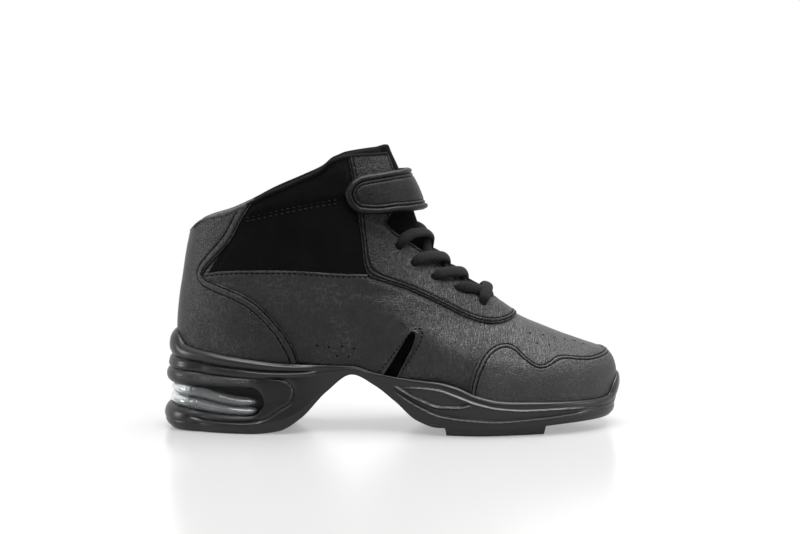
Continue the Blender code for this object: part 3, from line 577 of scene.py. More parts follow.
def make_cloth(name, dark, light, depth, sheen):
    look, tree, shader = new_look(name, 0.95, 0.06, sheen)
    vector = object_vector(tree)
    patches = use_group(tree, mottle, {"Vector": vector, "Scale": 60.0})
    tree.links.new(tint(tree, patches.outputs["Broad"], dark, light), shader.inputs["Base Color"])
    nap = noise(tree, vector, NAP, 3.0, 0.65)
    tree.links.new(bump(tree, nap, 0.8, depth), shader.inputs["Normal"])
    return look


cuff_cloth = make_cloth("cuff_cloth", 0.0006, 0.0040, 0.0008, 0.015)
tongue_cloth = make_cloth("tongue_cloth", 0.0014, 0.0036, 0.0005, 0.01)
lining_cloth = make_cloth("lining_cloth", 0.010, 0.018, 0.0003, 0.05)
insole_cloth = make_cloth("insole_cloth", 0.012, 0.022, 0.0003, 0.05)
thread_look = make_cloth("thread", 0.002, 0.004, 0.0001, 0.0)
binding_cloth = make_cloth("binding_cloth", 0.003, 0.007, 0.0003, 0.01)
pale_thread = make_cloth("pale_thread", 0.012, 0.024, 0.0001, 0.0)
# The holes' near-black is painted shade for the inside of a punched hole.
hole_shade_look = make_cloth("punched_hole_shade", 0.001, 0.002, 0.0001, 0.0)


def make_woven(name, dark, light, ribs_u, ribs_v, depth, shine, sheen):
    """Woven ribs along the piece's own UV map."""
    look, tree, shader = new_look(name, 0.85, shine, sheen)
    uv = add_node(tree, "SeparateXYZ", None, {0: add_node(tree, "TexCoord").outputs["UV"]})
    first = math(tree, "MULTIPLY", uv.outputs[0], ribs_u)
    second = math(tree, "MULTIPLY", uv.outputs[1], ribs_v)
    one = math(tree, "SINE", math(tree, "ADD", first, second))
    two = math(tree, "SINE", math(tree, "SUBTRACT", first, second))
    weave = math(tree, "MAXIMUM", one, two)
    raised = map_range(tree, weave, -0.2, 1.0)
    tree.links.new(tint(tree, raised, dark, light), shader.inputs["Base Color"])
    tree.links.new(bump(tree, raised, 0.9, depth), shader.inputs["Normal"])
    return look


lace_cord = make_woven("lace_cord", 0.002, 0.007, 276.0, 50.27, 0.0004, 0.15, 0.03)
elastic_look = make_woven("elastic", 0.001, 0.003, 0.0, 150.0, 0.0003, 0.05, 0.0)
print("cloth:", cuff_cloth.name, tongue_cloth.name, lining_cloth.name, lace_cord.name, elastic_look.name)

# %% [markdown]
# ## Rubber and the clear cushion
#
# The sole is moulded rubber: satin, with the faint unevenness of the mould. Two marks of the sole's
# mesh change it: one is a painted highlight along the crest of each raised line, which is paler, and
# dotted is a band of fine raised dots, its grey also lifted as a painted highlight. The heel cushion is
# clear plastic, which shows by what it bends and reflects, so it needs nearly full transmission and a
# low roughness. A little of it stays milky.

# %% Rubber and plastic finishes
RUBBER_ROUGH, RUBBER_SHINE = 0.35, 0.42
RUBBER_DARK, RUBBER_PALE, PALEST = 0.010, 0.13, 3.5      # both greys, the paler one reached mostly by the painted highlights, and the sum of marks that is palest
sole_rubber, tree, shader = new_look("sole_rubber", RUBBER_ROUGH, RUBBER_SHINE)
vector = object_vector(tree)
patches = use_group(tree, mottle, {"Vector": vector, "Scale": 55.0})
# dotted marks the band of fine raised dots; it also lifts the grey below as a painted highlight along the
# band.
band = read_mark(tree, "dotted")
# The paler grey on the crests of the raised lines is a painted highlight; the broad patches are the
# rubber's own uneven tone.
pale = math(tree, "MULTIPLY", patches.outputs["Broad"], 0.3)
for mark, share in ((band, 0.7), (read_mark(tree, "wear_and_painted_highlight"), 3.0)):
    pale = math(tree, "ADD", pale, math(tree, "MULTIPLY", mark, share))
grey = map_range(tree, pale, 0.0, PALEST, RUBBER_DARK, RUBBER_PALE)
shade = add_node(tree, "CombineColor", None, {0: grey, 1: grey, 2: grey})
tree.links.new(shade.outputs[0], shader.inputs["Base Color"])
uneven = math(tree, "MULTIPLY", math(tree, "SUBTRACT", patches.outputs["Broad"], 0.5), 0.16)
tree.links.new(math(tree, "ADD", uneven, RUBBER_ROUGH), shader.inputs["Roughness"])
dots = add_node(tree, "TexVoronoi", None, {"Vector": vector, "Scale": 900.0}).outputs["Distance"]
dotted = math(tree, "MULTIPLY", map_range(tree, dots, 0.1, 0.5, 1.5, 0.0), band)
mould = math(tree, "ADD", math(tree, "MULTIPLY", patches.outputs["Fine"], 0.12), dotted)
tree.links.new(bump(tree, mould, 0.7, 0.0003), shader.inputs["Normal"])

clear_plastic, tree, shader = new_look("clear_plastic", 0.05, 0.5)
shader.inputs["Base Color"].default_value = (0.92, 0.94, 0.95, 1.0)
shader.inputs["Transmission Weight"].default_value = 0.96
shader.inputs["IOR"].default_value = 1.5
ripples = use_group(tree, mottle, {"Vector": object_vector(tree), "Scale": 120.0})
tree.links.new(bump(tree, ripples.outputs["Broad"], 0.25, 0.0004), shader.inputs["Normal"])
print("rubber and plastic:", sole_rubber.name, clear_plastic.name)

# %% [markdown]
# ## The sole
#
# The sole is moulded in two units that meet at the arch. Its wall is a stack of rounded ribs parted
# by sharp grooves, and a window is cut round the heel. Each band of the wall runs between two lines
# of the side view and swells between them; a section of the wall is repeated round the outline, and
# the two sides are joined across the tread.

# %% How far the wall's lines stand out, by zone
WallRow = namedtuple("WallRow", "back heel arch ball toe")
ZONE_X = {"back": (-140.0, -119.0), "heel": (-106.0, -62.0), "arch": (-36.0, -8.0), "ball": (30.0, 96.0),
          "toe": (122.0, 140.0)}
OUT = {                   # how far each line of the wall stands out from the last
    "rim": WallRow(3.4, 3.2, 1.6, 3.0, 3.0), "groove": WallRow(6.4, 3.7, 1.7, 3.2, 4.0),
    "low_groove": WallRow(9.0, 4.3, 1.7, 3.4, 4.7), "window_top": WallRow(8.8, 4.6, 1.5, 3.3, 5.2),
    "window_low": WallRow(10.0, 6.2, 1.4, 3.0, 5.1), "ledge": WallRow(11.8, 6.8, 1.2, 2.4, 4.7),
    "edge": WallRow(9.6, 6.0, 0.8, 1.4, 4.0), "tread": WallRow(7.4, 4.4, 0.4, 0.2, 2.4),
}
SWELL = {                 # how far the rib below each line swells past its two lines
    "rim": WallRow(1.6, 1.5, 0.2, 0.5, 0.7), "groove": WallRow(1.9, 1.4, 0.1, 0.2, 0.4),
    "low_groove": WallRow(2.2, 1.7, 0.0, 0.2, 0.3), "window_low": WallRow(1.4, 0.9, 0.0, 0.1, 0.1),
    "ledge": WallRow(0.8, 0.7, 0.0, 0.3, 0.2),
}
SPLIT_X = -23.0
WINDOW_ROUND_X, WINDOW_ROUND, WINDOW_DEPTH = -80.6, 7.0, 11.0
PAD_REAR_X, PAD_FRONT_X, TREAD_BEVEL = 30.5, 87.0, 1.6
SEAT_WALL = [(0.0, 1.5), (0.35, 1.5), (0.7, 1.2), (1.0, 0.3)]   # share of the inner wall's height, out
RIM_ROLL = 0.9            # height of the lip's rounded top
PLAIN_SHANK = (-96.0, -68.0)    # in front of the window the lower ribs die away
SOLE_STATIONS = 430


def zone_value(row, x):
    places, values = [], []
    for zone, ends in ZONE_X.items():
        places += ends
        values += [getattr(row, zone)] * 2
    return read_curve(places, values, x)


def tread_height(x):
    """The walking surface: the pad under the ball steps down to the floor."""
    on_pad = (x >= PAD_REAR_X) & (x <= PAD_FRONT_X)
    return np.where(on_pad, 0.0, sole_height("tread", x))


def window_height(share):
    """A height in the window, from its top (0) to its foot (1); its front ends are round."""
    def height(x):
        top, foot = sole_height("window_top", x), sole_height("window_low", x)
        return (top + foot) / 2 + (top - foot) * (0.5 - share) * window_open(x)
    return height


def window_open(x):
    """1 along the window, falling to 0 at its round front ends."""
    t = np.clip((x - WINDOW_ROUND_X) / WINDOW_ROUND, 0, 1)
    return np.sqrt(1 - t * t)


def window_out(share, x):
    """How far the wall stands out in the window, from its top (0) to its foot (1)."""
    top, foot = zone_value(OUT["window_top"], x), zone_value(OUT["window_low"], x)
    return (top + foot) / 2 + (foot - top) * (share - 0.5) * window_open(x)


def line_height(column):
    return lambda x: sole_height(column, x)


def edge_height(x):
    """The height at which the wall turns under to the tread."""
    return tread_height(x) + TREAD_BEVEL


HEIGHTS = {column: line_height(column) for column in ("seat", "rim", "groove", "low_groove", "ledge")}
HEIGHTS |= {"window_top": window_height(0), "window_low": window_height(1), "edge": edge_height}


# %% Rings round the sole

def plan_normal(angle):
    """Outward directions of the sole seat's outline, seen from above."""
    zero = np.zeros_like(angle)
    turn = last_point(zero, angle + 0.01) - last_point(zero, angle - 0.01)
    return unit(np.column_stack([-turn[:, 1], turn[:, 0], 0 * angle]))


def wall_ring(angle, height_of, out):
    """A ring of the wall at a height and a distance out from the last."""
    level = np.zeros_like(angle)
    for _ in range(8):
        x = last_point(level, angle)[:, 0]
        level = np.clip(level_at(x, height_of(x)), 0.0, 0.2)
    point = last_point(level, angle)
    ring = point + plan_normal(angle) * out[:, None]
    ring[:, 2] = height_of(point[:, 0])
    return ring


def mixed_height(top, foot, share, lift=0.0):
    return lambda x: top(x) * (1 - share) + foot(x) * share + lift


def line_out(name, x):
    """How far a line of the wall stands out."""
    if name.startswith("window"):
        return window_out(1.0 * (name == "window_low"), x)
    return zone_value(OUT[name], x)


def wall_band(angle, seat_x, top, foot, count):
    """Rings of one rounded rib, from the groove above it to the groove below it."""
    swell = zone_value(SWELL[top], seat_x)
    if top in PLAIN_RIBS:
        swell = swell * (1 - soft_step(seat_x, *PLAIN_SHANK) * soft_step(-seat_x, 0.0, 20.0))
    rings = []
    for turn in np.linspace(0, np.pi, count + 1)[:-1]:
        share = (1 - np.cos(turn)) / 2
        out = line_out(top, seat_x) * (1 - share) + line_out(foot, seat_x) * share
        out = out + swell * (1 - np.abs(2 * share - 1) ** 2.4)
        rings.append(wall_ring(angle, mixed_height(HEIGHTS[top], HEIGHTS[foot], share), out))
    return rings


WINDOW_PATH = [           # shares down the window, with the depth at each
    (0.0, 0.0), (0.02, 0.5), (0.05, 1.3), (0.05, 5.0), (0.05, WINDOW_DEPTH), (0.3, WINDOW_DEPTH),
    (0.7, WINDOW_DEPTH), (0.95, WINDOW_DEPTH), (0.95, 5.0), (0.95, 1.3), (0.98, 0.5),
]
RIBS_ABOVE = [("rim", "groove", 20), ("groove", "low_groove", 40), ("low_groove", "window_top", 18)]
RIBS_BELOW = [("window_low", "ledge", 22), ("ledge", "edge", 10)]
PLAIN_RIBS = ("low_groove", "window_low", "ledge")


def sole_wall(angle):
    """The wall's rings from the seat, over the lip, down the ribs and the window to the tread."""
    seat_x = last_point(np.zeros_like(angle), angle)[:, 0]
    rim = HEIGHTS["rim"]
    rings = []
    for share, out in SEAT_WALL:
        height = mixed_height(HEIGHTS["seat"], rim, share, -0.3)
        rings.append(wall_ring(angle, height, np.full_like(angle, out)))
    for turn in (0.25, 0.5, 0.75):
        out = SEAT_WALL[-1][1] + (zone_value(OUT["rim"], seat_x) - SEAT_WALL[-1][1]) * turn
        rings.append(wall_ring(angle, mixed_height(rim, rim, 0, RIM_ROLL * np.sin(np.pi * turn)), out))
    for rib in RIBS_ABOVE:
        rings += wall_band(angle, seat_x, *rib)
    cut = seat_x < WINDOW_ROUND_X + WINDOW_ROUND - 0.3
    for share, depth in WINDOW_PATH:
        rings.append(wall_ring(angle, window_height(share), window_out(share, seat_x) - depth * cut))
    for rib in RIBS_BELOW:
        rings += wall_band(angle, seat_x, *rib)
    for share in (0.0, 0.4, 0.75, 1.0):
        bend = np.sin(share * np.pi / 2)
        out = zone_value(OUT["edge"], seat_x) * (1 - share) + zone_value(OUT["tread"], seat_x) * share
        rings.append(wall_ring(angle, mixed_height(edge_height, tread_height, bend), out))
    return np.array(rings)


# %% Lines drawn on the wall
DrawnLine = namedtuple("DrawnLine", "height width below points")
PAINTED_HIGHLIGHT_WIDTH = 0.5          # a raised line has a paler painted highlight along its crest
WALL_LINES = [
    DrawnLine(1.7, 0.6, 0.6, [
        (4.4, 26.9), (14.0, 27.4), (25.4, 26.6), (36.0, 23.4), (46.8, 19.4), (60.9, 16.1), (77.9, 14.8),
        (95.2, 14.7), (113.1, 14.3)]),
    DrawnLine(1.8, 0.7, 0.7, [
        (0.5, 28.6), (6.0, 25.2), (15.8, 20.3), (27.1, 16.8), (38.4, 17.0), (46.0, 19.0)]),
    DrawnLine(1.9, 0.6, 0.9, [
        (0.0, 25.6), (4.4, 22.7), (15.8, 16.1), (27.1, 11.6), (44.0, 9.5), (61.0, 8.6), (83.8, 9.7),
        (101.3, 11.1), (115.9, 12.6)]),
    DrawnLine(-1.2, 0.7, 0.7, [
        (-119.0, 9.6), (-105.2, 7.4), (-88.5, 7.1), (-75.1, 8.2), (-65.1, 13.6), (-57.7, 19.0),
        (-56.4, 24.4), (-59.7, 30.1), (-65.0, 31.8), (-73.7, 32.2)]),
    DrawnLine(0.7, 0.6, 2.5, [(-118.0, 8.0), (-105.2, 5.9), (-88.5, 5.6), (-75.0, 6.6)]),
    DrawnLine(0.7, 0.8, 0.8, [(-92.0, 37.2), (-70.0, 34.8), (-52.0, 34.6), (-44.0, 35.4)]),
]
TRACK_POINTS, TRACK_FADE, TRACK_REACH = 160, 12, 4.0


def line_relief(points):
    """How far the drawn lines raise or sink points of the wall, and how strongly each raised line's crest
    carries a painted highlight.
    """
    flat = points[..., [0, 2]].reshape(-1, 2)
    relief, wear_and_painted_highlight = np.zeros(len(flat)), np.zeros(len(flat))
    for line in WALL_LINES:
        track = walk(line.points, TRACK_POINTS)
        steps = np.arange(TRACK_POINTS)
        ends = np.minimum(steps, steps[::-1]) / TRACK_FADE
        above, below = flat > track.min(0) - TRACK_REACH, flat < track.max(0) + TRACK_REACH
        near = np.nonzero(above.all(1) & below.all(1))[0]
        for some in np.array_split(near, 12):
            gaps = np.linalg.norm(flat[some][:, None] - track[None], axis=2)
            closest, gap = gaps.argmin(axis=1), gaps.min(axis=1)
            fade = np.clip(ends[closest], 0, 1)
            width = np.where(flat[some][:, 1] < track[closest][:, 1], line.below, line.width)
            relief[some] += line.height * fade * np.exp(-(gap / width) ** 2)
            # A raised line's crest also gets a painted highlight: a paler grey in the rubber's colour.
            if line.height > 1:
                wear_and_painted_highlight[some] = np.maximum(wear_and_painted_highlight[some], fade * np.exp(-(gap / PAINTED_HIGHLIGHT_WIDTH) ** 2))
    return relief.reshape(points.shape[:-1]), wear_and_painted_highlight.reshape(points.shape[:-1])


# %% Lofting the two units
TREAD_COLUMNS = 34
SPLIT_SPARE = 16.0        # what each unit is lofted past the split before it is cut there
TREAD_PITCH, TREAD_WAVE, TREAD_SWAY, TREAD_DEEP = 6.4, 21.0, 0.32, 1.3
CORE_ROWS = 4             # the first rings line the seat and carry no lines


def tread_relief(points):
    """Wavy grooves across the two walking surfaces."""
    x, y, z = points[..., 0], points[..., 1], points[..., 2]
    walked = soft_step(-z, -0.4, -0.1)
    heel = soft_step(x, -117, -114) * soft_step(-x, 80, 84)
    ball = soft_step(x, 36, 39) * soft_step(-x, -82, -79)
    phase = x / TREAD_PITCH + TREAD_SWAY * np.sin(2 * np.pi * y / TREAD_WAVE)
    groove = soft_step(np.cos(2 * np.pi * phase), 0.62, 0.86)
    return TREAD_DEEP * groove * walked * np.maximum(heel, ball)


def dotted_band(points):
    """1 on the fine dotted band above the heel window."""
    x, z = points[..., 0], points[..., 2]
    top, foot = sole_height("low_groove", x.ravel()), sole_height("window_top", x.ravel())
    share = (top.reshape(x.shape) - z) / (top - foot).reshape(x.shape)
    within = soft_step(share, 0.08, 0.25) * soft_step(-share, -0.85, -0.6)
    return within * soft_step(-x, 74, 84) * soft_step(x, -128, -118)


def sole_unit(name, node, keep_front):
    angle = round_angles(SOLE_STATIONS, ends=1.4)
    seat_x = last_point(np.zeros_like(angle), angle)[:, 0]
    angle = angle[seat_x > SPLIT_X - SPLIT_SPARE] if keep_front else angle[seat_x < SPLIT_X + SPLIT_SPARE]
    walls, wear_and_painted_highlight = [], []
    for side in (angle, 2 * np.pi - angle):
        wall = sole_wall(side)
        relief, painted_crest_highlight = line_relief(wall)
        relief[:CORE_ROWS] = 0.0
        walls.append(wall + plan_normal(side)[None] * relief[..., None])
        wear_and_painted_highlight.append(painted_crest_highlight)
    share = np.linspace(0, 1, TREAD_COLUMNS + 2)[1:-1, None, None]
    tread = walls[0][-1][None] * (1 - share) + walls[1][-1][None] * share
    tread[..., 2] += tread_relief(tread)
    section = np.concatenate([walls[0], tread, walls[1][::-1], walls[0][:1]])
    painted_crest_highlight = np.concatenate([wear_and_painted_highlight[0], np.zeros(tread.shape[:2]), wear_and_painted_highlight[1][::-1], wear_and_painted_highlight[0][:1]])
    piece = add_grid(name, section, marks={"dotted": dotted_band(section), "wear_and_painted_highlight": painted_crest_highlight})

    def part_at_the_arch():
        bpy.ops.mesh.bisect(plane_co=(SPLIT_X * MM, 0, 0), plane_no=(1, 0, 0), use_fill=True,
                            clear_inner=keep_front, clear_outer=not keep_front)
    in_edit_mode(piece, merge_points, part_at_the_arch)
    in_edit_mode(piece, face_outward)
    return finish_piece(piece, sole_rubber, "sole_rubber", node, angle=50)


sole_unit("heel_unit", "heel_sole", keep_front=False)
sole_unit("forefoot_unit", "forefoot_sole", keep_front=True)

# %% [markdown]
# ## The clear cushion in the heel
#
# The cushion is a pair of clear tubes bent round the back of the heel. The upper one sinks towards the
# front, which leaves a dark gap under the top of the window. Each tube is an oval swept along the
# window, a little behind its face; it closes in a round end, and Solidify makes it hollow.

# %% The clear cell
CELL_FRONT_X = WINDOW_ROUND_X + 0.5 * WINDOW_ROUND
CELL_WALL = 0.9
CELL_STATIONS, CELL_SIDES, SEAT_STEPS = 140, 24, 400
CELL_SINK_X = (-118.0, -84.0)   # where the shares at the back pass into those at the front
CELL_END = 0.045          # share of a tube's run in which its end closes
CELL_CROWD = 0.02         # draws the stations towards the ends
Lobe = namedtuple("Lobe", "back front depth reach")     # shares down the window at both ends, depths
LOBES = [Lobe((0.03, 0.49), (0.36, 0.66), 5.4, 4.6), Lobe((0.50, 0.97), (0.67, 0.97), 4.6, 4.2)]


def lobe_rings(lobe, angle):
    """Rings of an oval tube along the window, closing at both ends."""
    seat_x = last_point(0 * angle, angle)[:, 0]
    run = np.linspace(0, 1, len(angle))
    end = np.clip(np.minimum(run, 1 - run) / CELL_END, 0, 1)
    close = np.sqrt(1 - (1 - end) ** 2)
    front = soft_step(seat_x, *CELL_SINK_X)
    top = lobe.back[0] + (lobe.front[0] - lobe.back[0]) * front
    foot = lobe.back[1] + (lobe.front[1] - lobe.back[1]) * front
    rings = []
    for turn in np.linspace(0, 2 * np.pi, CELL_SIDES + 1):
        share = (top + foot) / 2 + (foot - top) / 2 * close * np.sin(turn)
        depth = lobe.depth - lobe.reach * close * np.cos(turn)
        rings.append(wall_ring(angle, window_height(share), window_out(share, seat_x) - depth))
    return np.array(rings)


def make_cell():
    seat_angle = np.linspace(np.pi, 0, SEAT_STEPS)
    front = np.interp(CELL_FRONT_X, last_point(0 * seat_angle, seat_angle)[:, 0], seat_angle)
    turn = np.linspace(0, 1, CELL_STATIONS)
    angle = front + (2 * np.pi - 2 * front) * (turn - CELL_CROWD * np.sin(2 * np.pi * turn))
    tubes = []
    for lobe in LOBES:
        tube = add_grid("clear_cell", lobe_rings(lobe, angle))
        in_edit_mode(tube, merge_points, face_outward)
        thicken(tube, CELL_WALL)
        tubes.append(tube)
    return finish_piece(join_pieces(*tubes), clear_plastic, "clear_cell", "heel_cell", angle=60)


make_cell()

# %% [markdown]
# ## The upper
#
# The upper is soft leather pulled tight, yet it is not perfectly even: it sinks and lifts a little
# where the foot bends and below the sewn facing. Each of those creases is a soft stroke, listed in a
# table. Solidify then gives the skin its thickness, lining inward.

# %% Creases as listed strokes
Stroke = namedtuple("Stroke", "x z dx dz width height")
STROKES = [Stroke(*row) for row in (
    (-9.0, 86.4, 13.0, -3.4, 2.0, 0.55), (-12.0, 80.6, 13.0, -1.8, 3.2, -0.6),
    (14.0, 77.4, 9.0, -3.6, 1.8, 0.40), (-3.0, 60.5, 4.0, 6.0, 1.5, 0.40),
    (-6.4, 59.0, 4.0, 6.0, 1.5, -0.40), (1.6, 66.0, 3.4, 4.4, 1.6, 0.35),
    (-16.0, 74.0, 1.6, 6.0, 2.0, 0.40), (-20.0, 70.0, 2.0, 5.0, 2.2, -0.35),
    (23.0, 62.0, 1.4, 8.0, 1.5, 0.28), (28.0, 60.0, 1.4, 9.0, 1.5, -0.28),
    (33.0, 57.0, 1.6, 8.0, 1.6, 0.28), (39.0, 54.0, 1.6, 8.0, 1.7, -0.26),
    (20.0, 48.0, 1.0, 7.0, 2.2, -0.5), (30.0, 42.0, 1.6, 5.0, 1.8, 0.3),
    (66.0, 58.0, 2.4, 4.6, 2.6, -0.45), (74.0, 54.5, 2.6, 5.0, 2.6, 0.30),
    (84.0, 50.0, 3.0, 4.0, 2.8, -0.30), (-44.0, 78.0, 9.0, 2.0, 4.0, -0.35),
    (-62.0, 84.0, 9.0, 3.0, 4.0, 0.30), (-36.0, 62.0, 5.0, 5.0, 4.0, 0.25),
    (-11.0, 119.0, 9.0, -5.5, 1.5, 0.9), (-6.0, 121.5, 5.0, -3.0, 1.7, -1.1),
    (-14.0, 116.0, 7.0, -5.0, 1.1, -0.5), (-3.6, 123.0, 3.4, -4.4, 0.9, 0.6),
    (0.4, 62.0, 2.2, 4.6, 1.0, 0.45), (-2.2, 62.6, 2.0, 4.2, 0.9, -0.4),
    (-48.0, 46.0, 8.0, -1.0, 3.0, -0.25), (-24.0, 44.0, 7.0, -1.6, 3.0, 0.25),
)]
SIDE_SHIFT = 3.0          # the inner side creases in slightly other places


def stroke_relief(points):
    x = points[..., 0] + SIDE_SHIFT * soft_step(points[..., 1], -6, 6)
    z = points[..., 2]
    relief = np.zeros_like(x)
    for stroke in STROKES:
        length = stroke.dx ** 2 + stroke.dz ** 2
        t = np.clip(((x - stroke.x) * stroke.dx + (z - stroke.z) * stroke.dz) / length, -1, 1)
        gap = np.hypot(x - stroke.x - t * stroke.dx, z - stroke.z - t * stroke.dz)
        relief += stroke.height * (1 - 0.6 * t * t) * np.exp(-(gap / stroke.width) ** 2)
    return relief


def waver(points, size):
    """A slow, even unevenness, so that no panel is perfectly true."""
    x, y, z = np.moveaxis(points, -1, 0)
    across = np.sin(x / 9.0 + 1.3 * np.sin(z / 14.0))
    upward = np.sin(z / 11.0 + 0.8 * np.sin(x / 17.0 + y / 20.0))
    return size * across * upward


# %% The slot for the elastic gore
GORE_SLOT = [(-8.4, 30.0), (-5.8, 34.1), (-2.5, 39.3), (1.6, 46.1), (5.6, 52.9), (9.2, 58.8), (11.2, 60.3),
             (12.9, 60.1), (13.6, 58.2), (12.1, 51.4), (9.3, 45.4), (6.4, 39.5), (3.2, 32.8), (1.8, 29.6)]
SLOT_OUTLINE = walk(GORE_SLOT, 90)
SLOT_MIDDLE, SLOT_REACH = (2.0, 45.0), (18.0, 24.0)      # where a point can be near the slot
LIP_HIGH, LIP_WIDE = 0.8, 1.1


def slot_lip(points):
    """A slight rise where the leather is folded round the slot."""
    flat = points[..., [0, 2]].reshape(-1, 2)
    gap = np.full(len(flat), 99.0)
    near = np.nonzero((np.abs(flat - SLOT_MIDDLE) < SLOT_REACH).all(1))[0]
    gap[near] = np.linalg.norm(flat[near][:, None] - SLOT_OUTLINE[None], axis=2).min(axis=1)
    return LIP_HIGH * np.exp(-(gap / LIP_WIDE) ** 2).reshape(points.shape[:-1])


def cut_slots(target):
    """Cuts the slot through both sides of a piece."""
    outline = np.vstack([SLOT_OUTLINE, SLOT_OUTLINE[:1]])
    for side, reach in (("outer", (-14.0, -75.0)), ("inner", (14.0, 75.0))):
        walls = np.array([[(x, y, z) for x, z in outline] for y in reach])
        cutter = add_grid("slot_cutter_" + side, walls)
        in_edit_mode(cutter, merge_points, close_ends, face_outward)
        apply_modifier(target, "BOOLEAN", object=cutter, operation="DIFFERENCE", solver="EXACT")
        bpy.data.objects.remove(cutter)


# %% The skin of the upper
WALL = 2.0
UPPER_STATIONS = 172
THROAT_TURN = [0.388, 0.390, 0.391, 0.393, 0.396, 0.400, 0.405, 0.411]  # rows where the throat starts
UPPER_LEVELS = np.concatenate([np.linspace(0.0, 0.385, 62), THROAT_TURN, np.linspace(0.42, 1.0, 46)])


def whole_turn(count):
    """Angles from the front line along the outer side, round the heel and back along the inner side."""
    outer = round_angles(count)
    return np.concatenate([outer, 2 * np.pi - outer[-2::-1]])


def upper_grid():
    start = throat_angle(UPPER_LEVELS)[:, None]
    angle = start + whole_turn(UPPER_STATIONS) * (1 - start / np.pi)
    return np.broadcast_to(UPPER_LEVELS[:, None], angle.shape).copy(), angle


def flex_of(points):
    """1 on the vamp and quarter where the foot bends, falling to 0.3 away from it."""
    x, z = points[..., 0], points[..., 2]
    forward = soft_step(x, -14, 20) * soft_step(-x, -104, -70)
    return np.maximum(forward * soft_step(z, 26, 40) * (1 - 0.3 * soft_step(z, 60, 74)), 0.3)


def skin_relief(level, base):
    """How far the upper's skin stands off the last."""
    relief = stroke_relief(base) + slot_lip(base) + waver(base, 0.16)
    return relief * soft_step(level, 0.02, 0.08) * (1 - soft_step(level, 0.9, 0.98))


def make_upper():
    level, angle = upper_grid()
    base = last_point(level, angle)
    normal = last_normal(level, angle)
    relief = skin_relief(level, base)
    upper = add_grid("upper_skin", base + normal * relief[..., None], normal, {"flex": flex_of(base)})
    in_edit_mode(upper, merge_points)
    upper.data.materials.append(upper_leather)
    upper.data.materials.append(lining_cloth)
    thicken(upper, WALL, material_offset=1, material_offset_rim=0)
    cut_slots(upper)
    return finish_piece(upper, None, "leather", "upper", angle=50)


make_upper()

# %% [markdown]
# ## Leather laid over the upper
#
# The toe cap, the heel counter and the facing are cut from stiffer leather and sewn on. Each is a
# patch between two lines on the last. Its edge is folded over and pressed down by two rows of
# stitches, so the first rows of the patch stand close together and follow that section. A bevel on
# a plain sheet would round the edge too, but it can't press the stitch rows in.

# %% Lines on the last

def ruled(lower, upper, rows):
    """Rows of (level, angle) between two lines of as many points."""
    share = np.linspace(0, 1, rows)[:, None, None]
    return lower[None] * (1 - share) + upper[None] * share


def wrap_path(outer, middle):
    """A line along the outer side, across the middle and back along the inner side."""
    return np.concatenate([outer, middle, inner_side(outer[::-1])])


def round_the_front(path, middle, count):
    """Carries an outer-side line on to the middle in count steps, then back on the inner side."""
    share = np.linspace(0, 1, count + 1)[1:-1, None]
    return wrap_path(np.concatenate([path, path[-1:] * (1 - share) + middle * share]), middle)


def level_of_height(column, angle, lift=0.0):
    """Levels at which rings of the last reach a height of the sole, at each angle."""
    level = np.zeros_like(angle)
    for _ in range(12):
        x = last_point(level, angle)[:, 0]
        level = np.maximum(level_at(x, sole_height(column, x) + lift), 0.0)
    return level


def step_over(path, distance, towards):
    """Moves a line of (level, angle) sideways over the last, towards another line."""
    rise, turn = last_slopes(path[:, 0], path[:, 1])
    point = last_point(path[:, 0], path[:, 1])
    across = unit(np.cross(np.cross(rise, turn), np.gradient(point, axis=0)))
    ahead = last_point(towards[:, 0], towards[:, 1]) - point
    across = across * np.sign((ahead * across).sum()) * distance
    a, b, c = (rise * rise).sum(-1), (rise * turn).sum(-1), (turn * turn).sum(-1)
    first, second = (rise * across).sum(-1), (turn * across).sum(-1)
    spread = a * c - b * b
    moved = path + np.column_stack([(c * first - b * second) / spread, (a * second - b * first) / spread])
    moved[:, 0] = np.clip(moved[:, 0], 0.0, TOP_LEVEL)
    return moved


# %% Seams and patches
SEAM = [                  # distances from a seam's edge, with the height at each
    (0.0, -0.3), (0.1, 0.5), (0.25, 0.95), (0.45, 1.2), (0.7, 1.15), (0.9, 0.85), (1.15, 0.45), (1.4, 0.85),
    (1.65, 1.25), (2.0, 1.45), (2.35, 1.45), (2.65, 1.2), (2.85, 0.85), (3.1, 0.5), (3.35, 0.85),
    (3.65, 1.15), (4.2, 1.26),
]
WIDE_SEAM = SEAM[:9] + [
    (2.1, 1.42), (3.0, 1.42), (3.9, 1.36), (4.4, 1.2), (4.65, 0.85), (4.9, 0.5), (5.15, 0.85), (5.5, 1.15),
    (6.0, 1.22),
]
EDGE = [
    (0.0, -0.6), (0.1, 0.3), (0.3, 0.95), (0.65, 1.35), (1.1, 1.5), (1.5, 1.35), (1.75, 1.0), (2.0, 0.6),
    (2.25, 0.95), (2.6, 1.2), (3.2, 1.25),
]
BODY_HEIGHT = 1.2         # how high a patch stands away from its seams
STITCH_LIFT = 0.22
SMOOTHINGS = 4
StitchRun = namedtuple("StitchRun", "line height")


def run_shares(path):
    """How far along its line on the last each point of a path lies, from 0 to 1."""
    steps = np.linalg.norm(np.diff(last_point(path[:, 0], path[:, 1]), axis=0), axis=1)
    run = np.concatenate([[0.0], np.cumsum(steps)])
    return run / run[-1]


def seam_rows(path, towards, section):
    """Rows of a seam from its edge inward, with the height of each."""
    distances, heights = zip(*section)
    shares = run_shares(path)
    rows = [path]
    for gap in np.diff(distances):
        row = step_over(rows[-1], gap, towards)
        for _ in range(SMOOTHINGS):
            row[1:-1] = (row[:-2] + 2 * row[1:-1] + row[2:]) / 4
        own = run_shares(row)
        rows.append(np.column_stack([np.interp(shares, own, row[:, 0]), np.interp(shares, own, row[:, 1])]))
    return np.array(rows), np.array(heights)


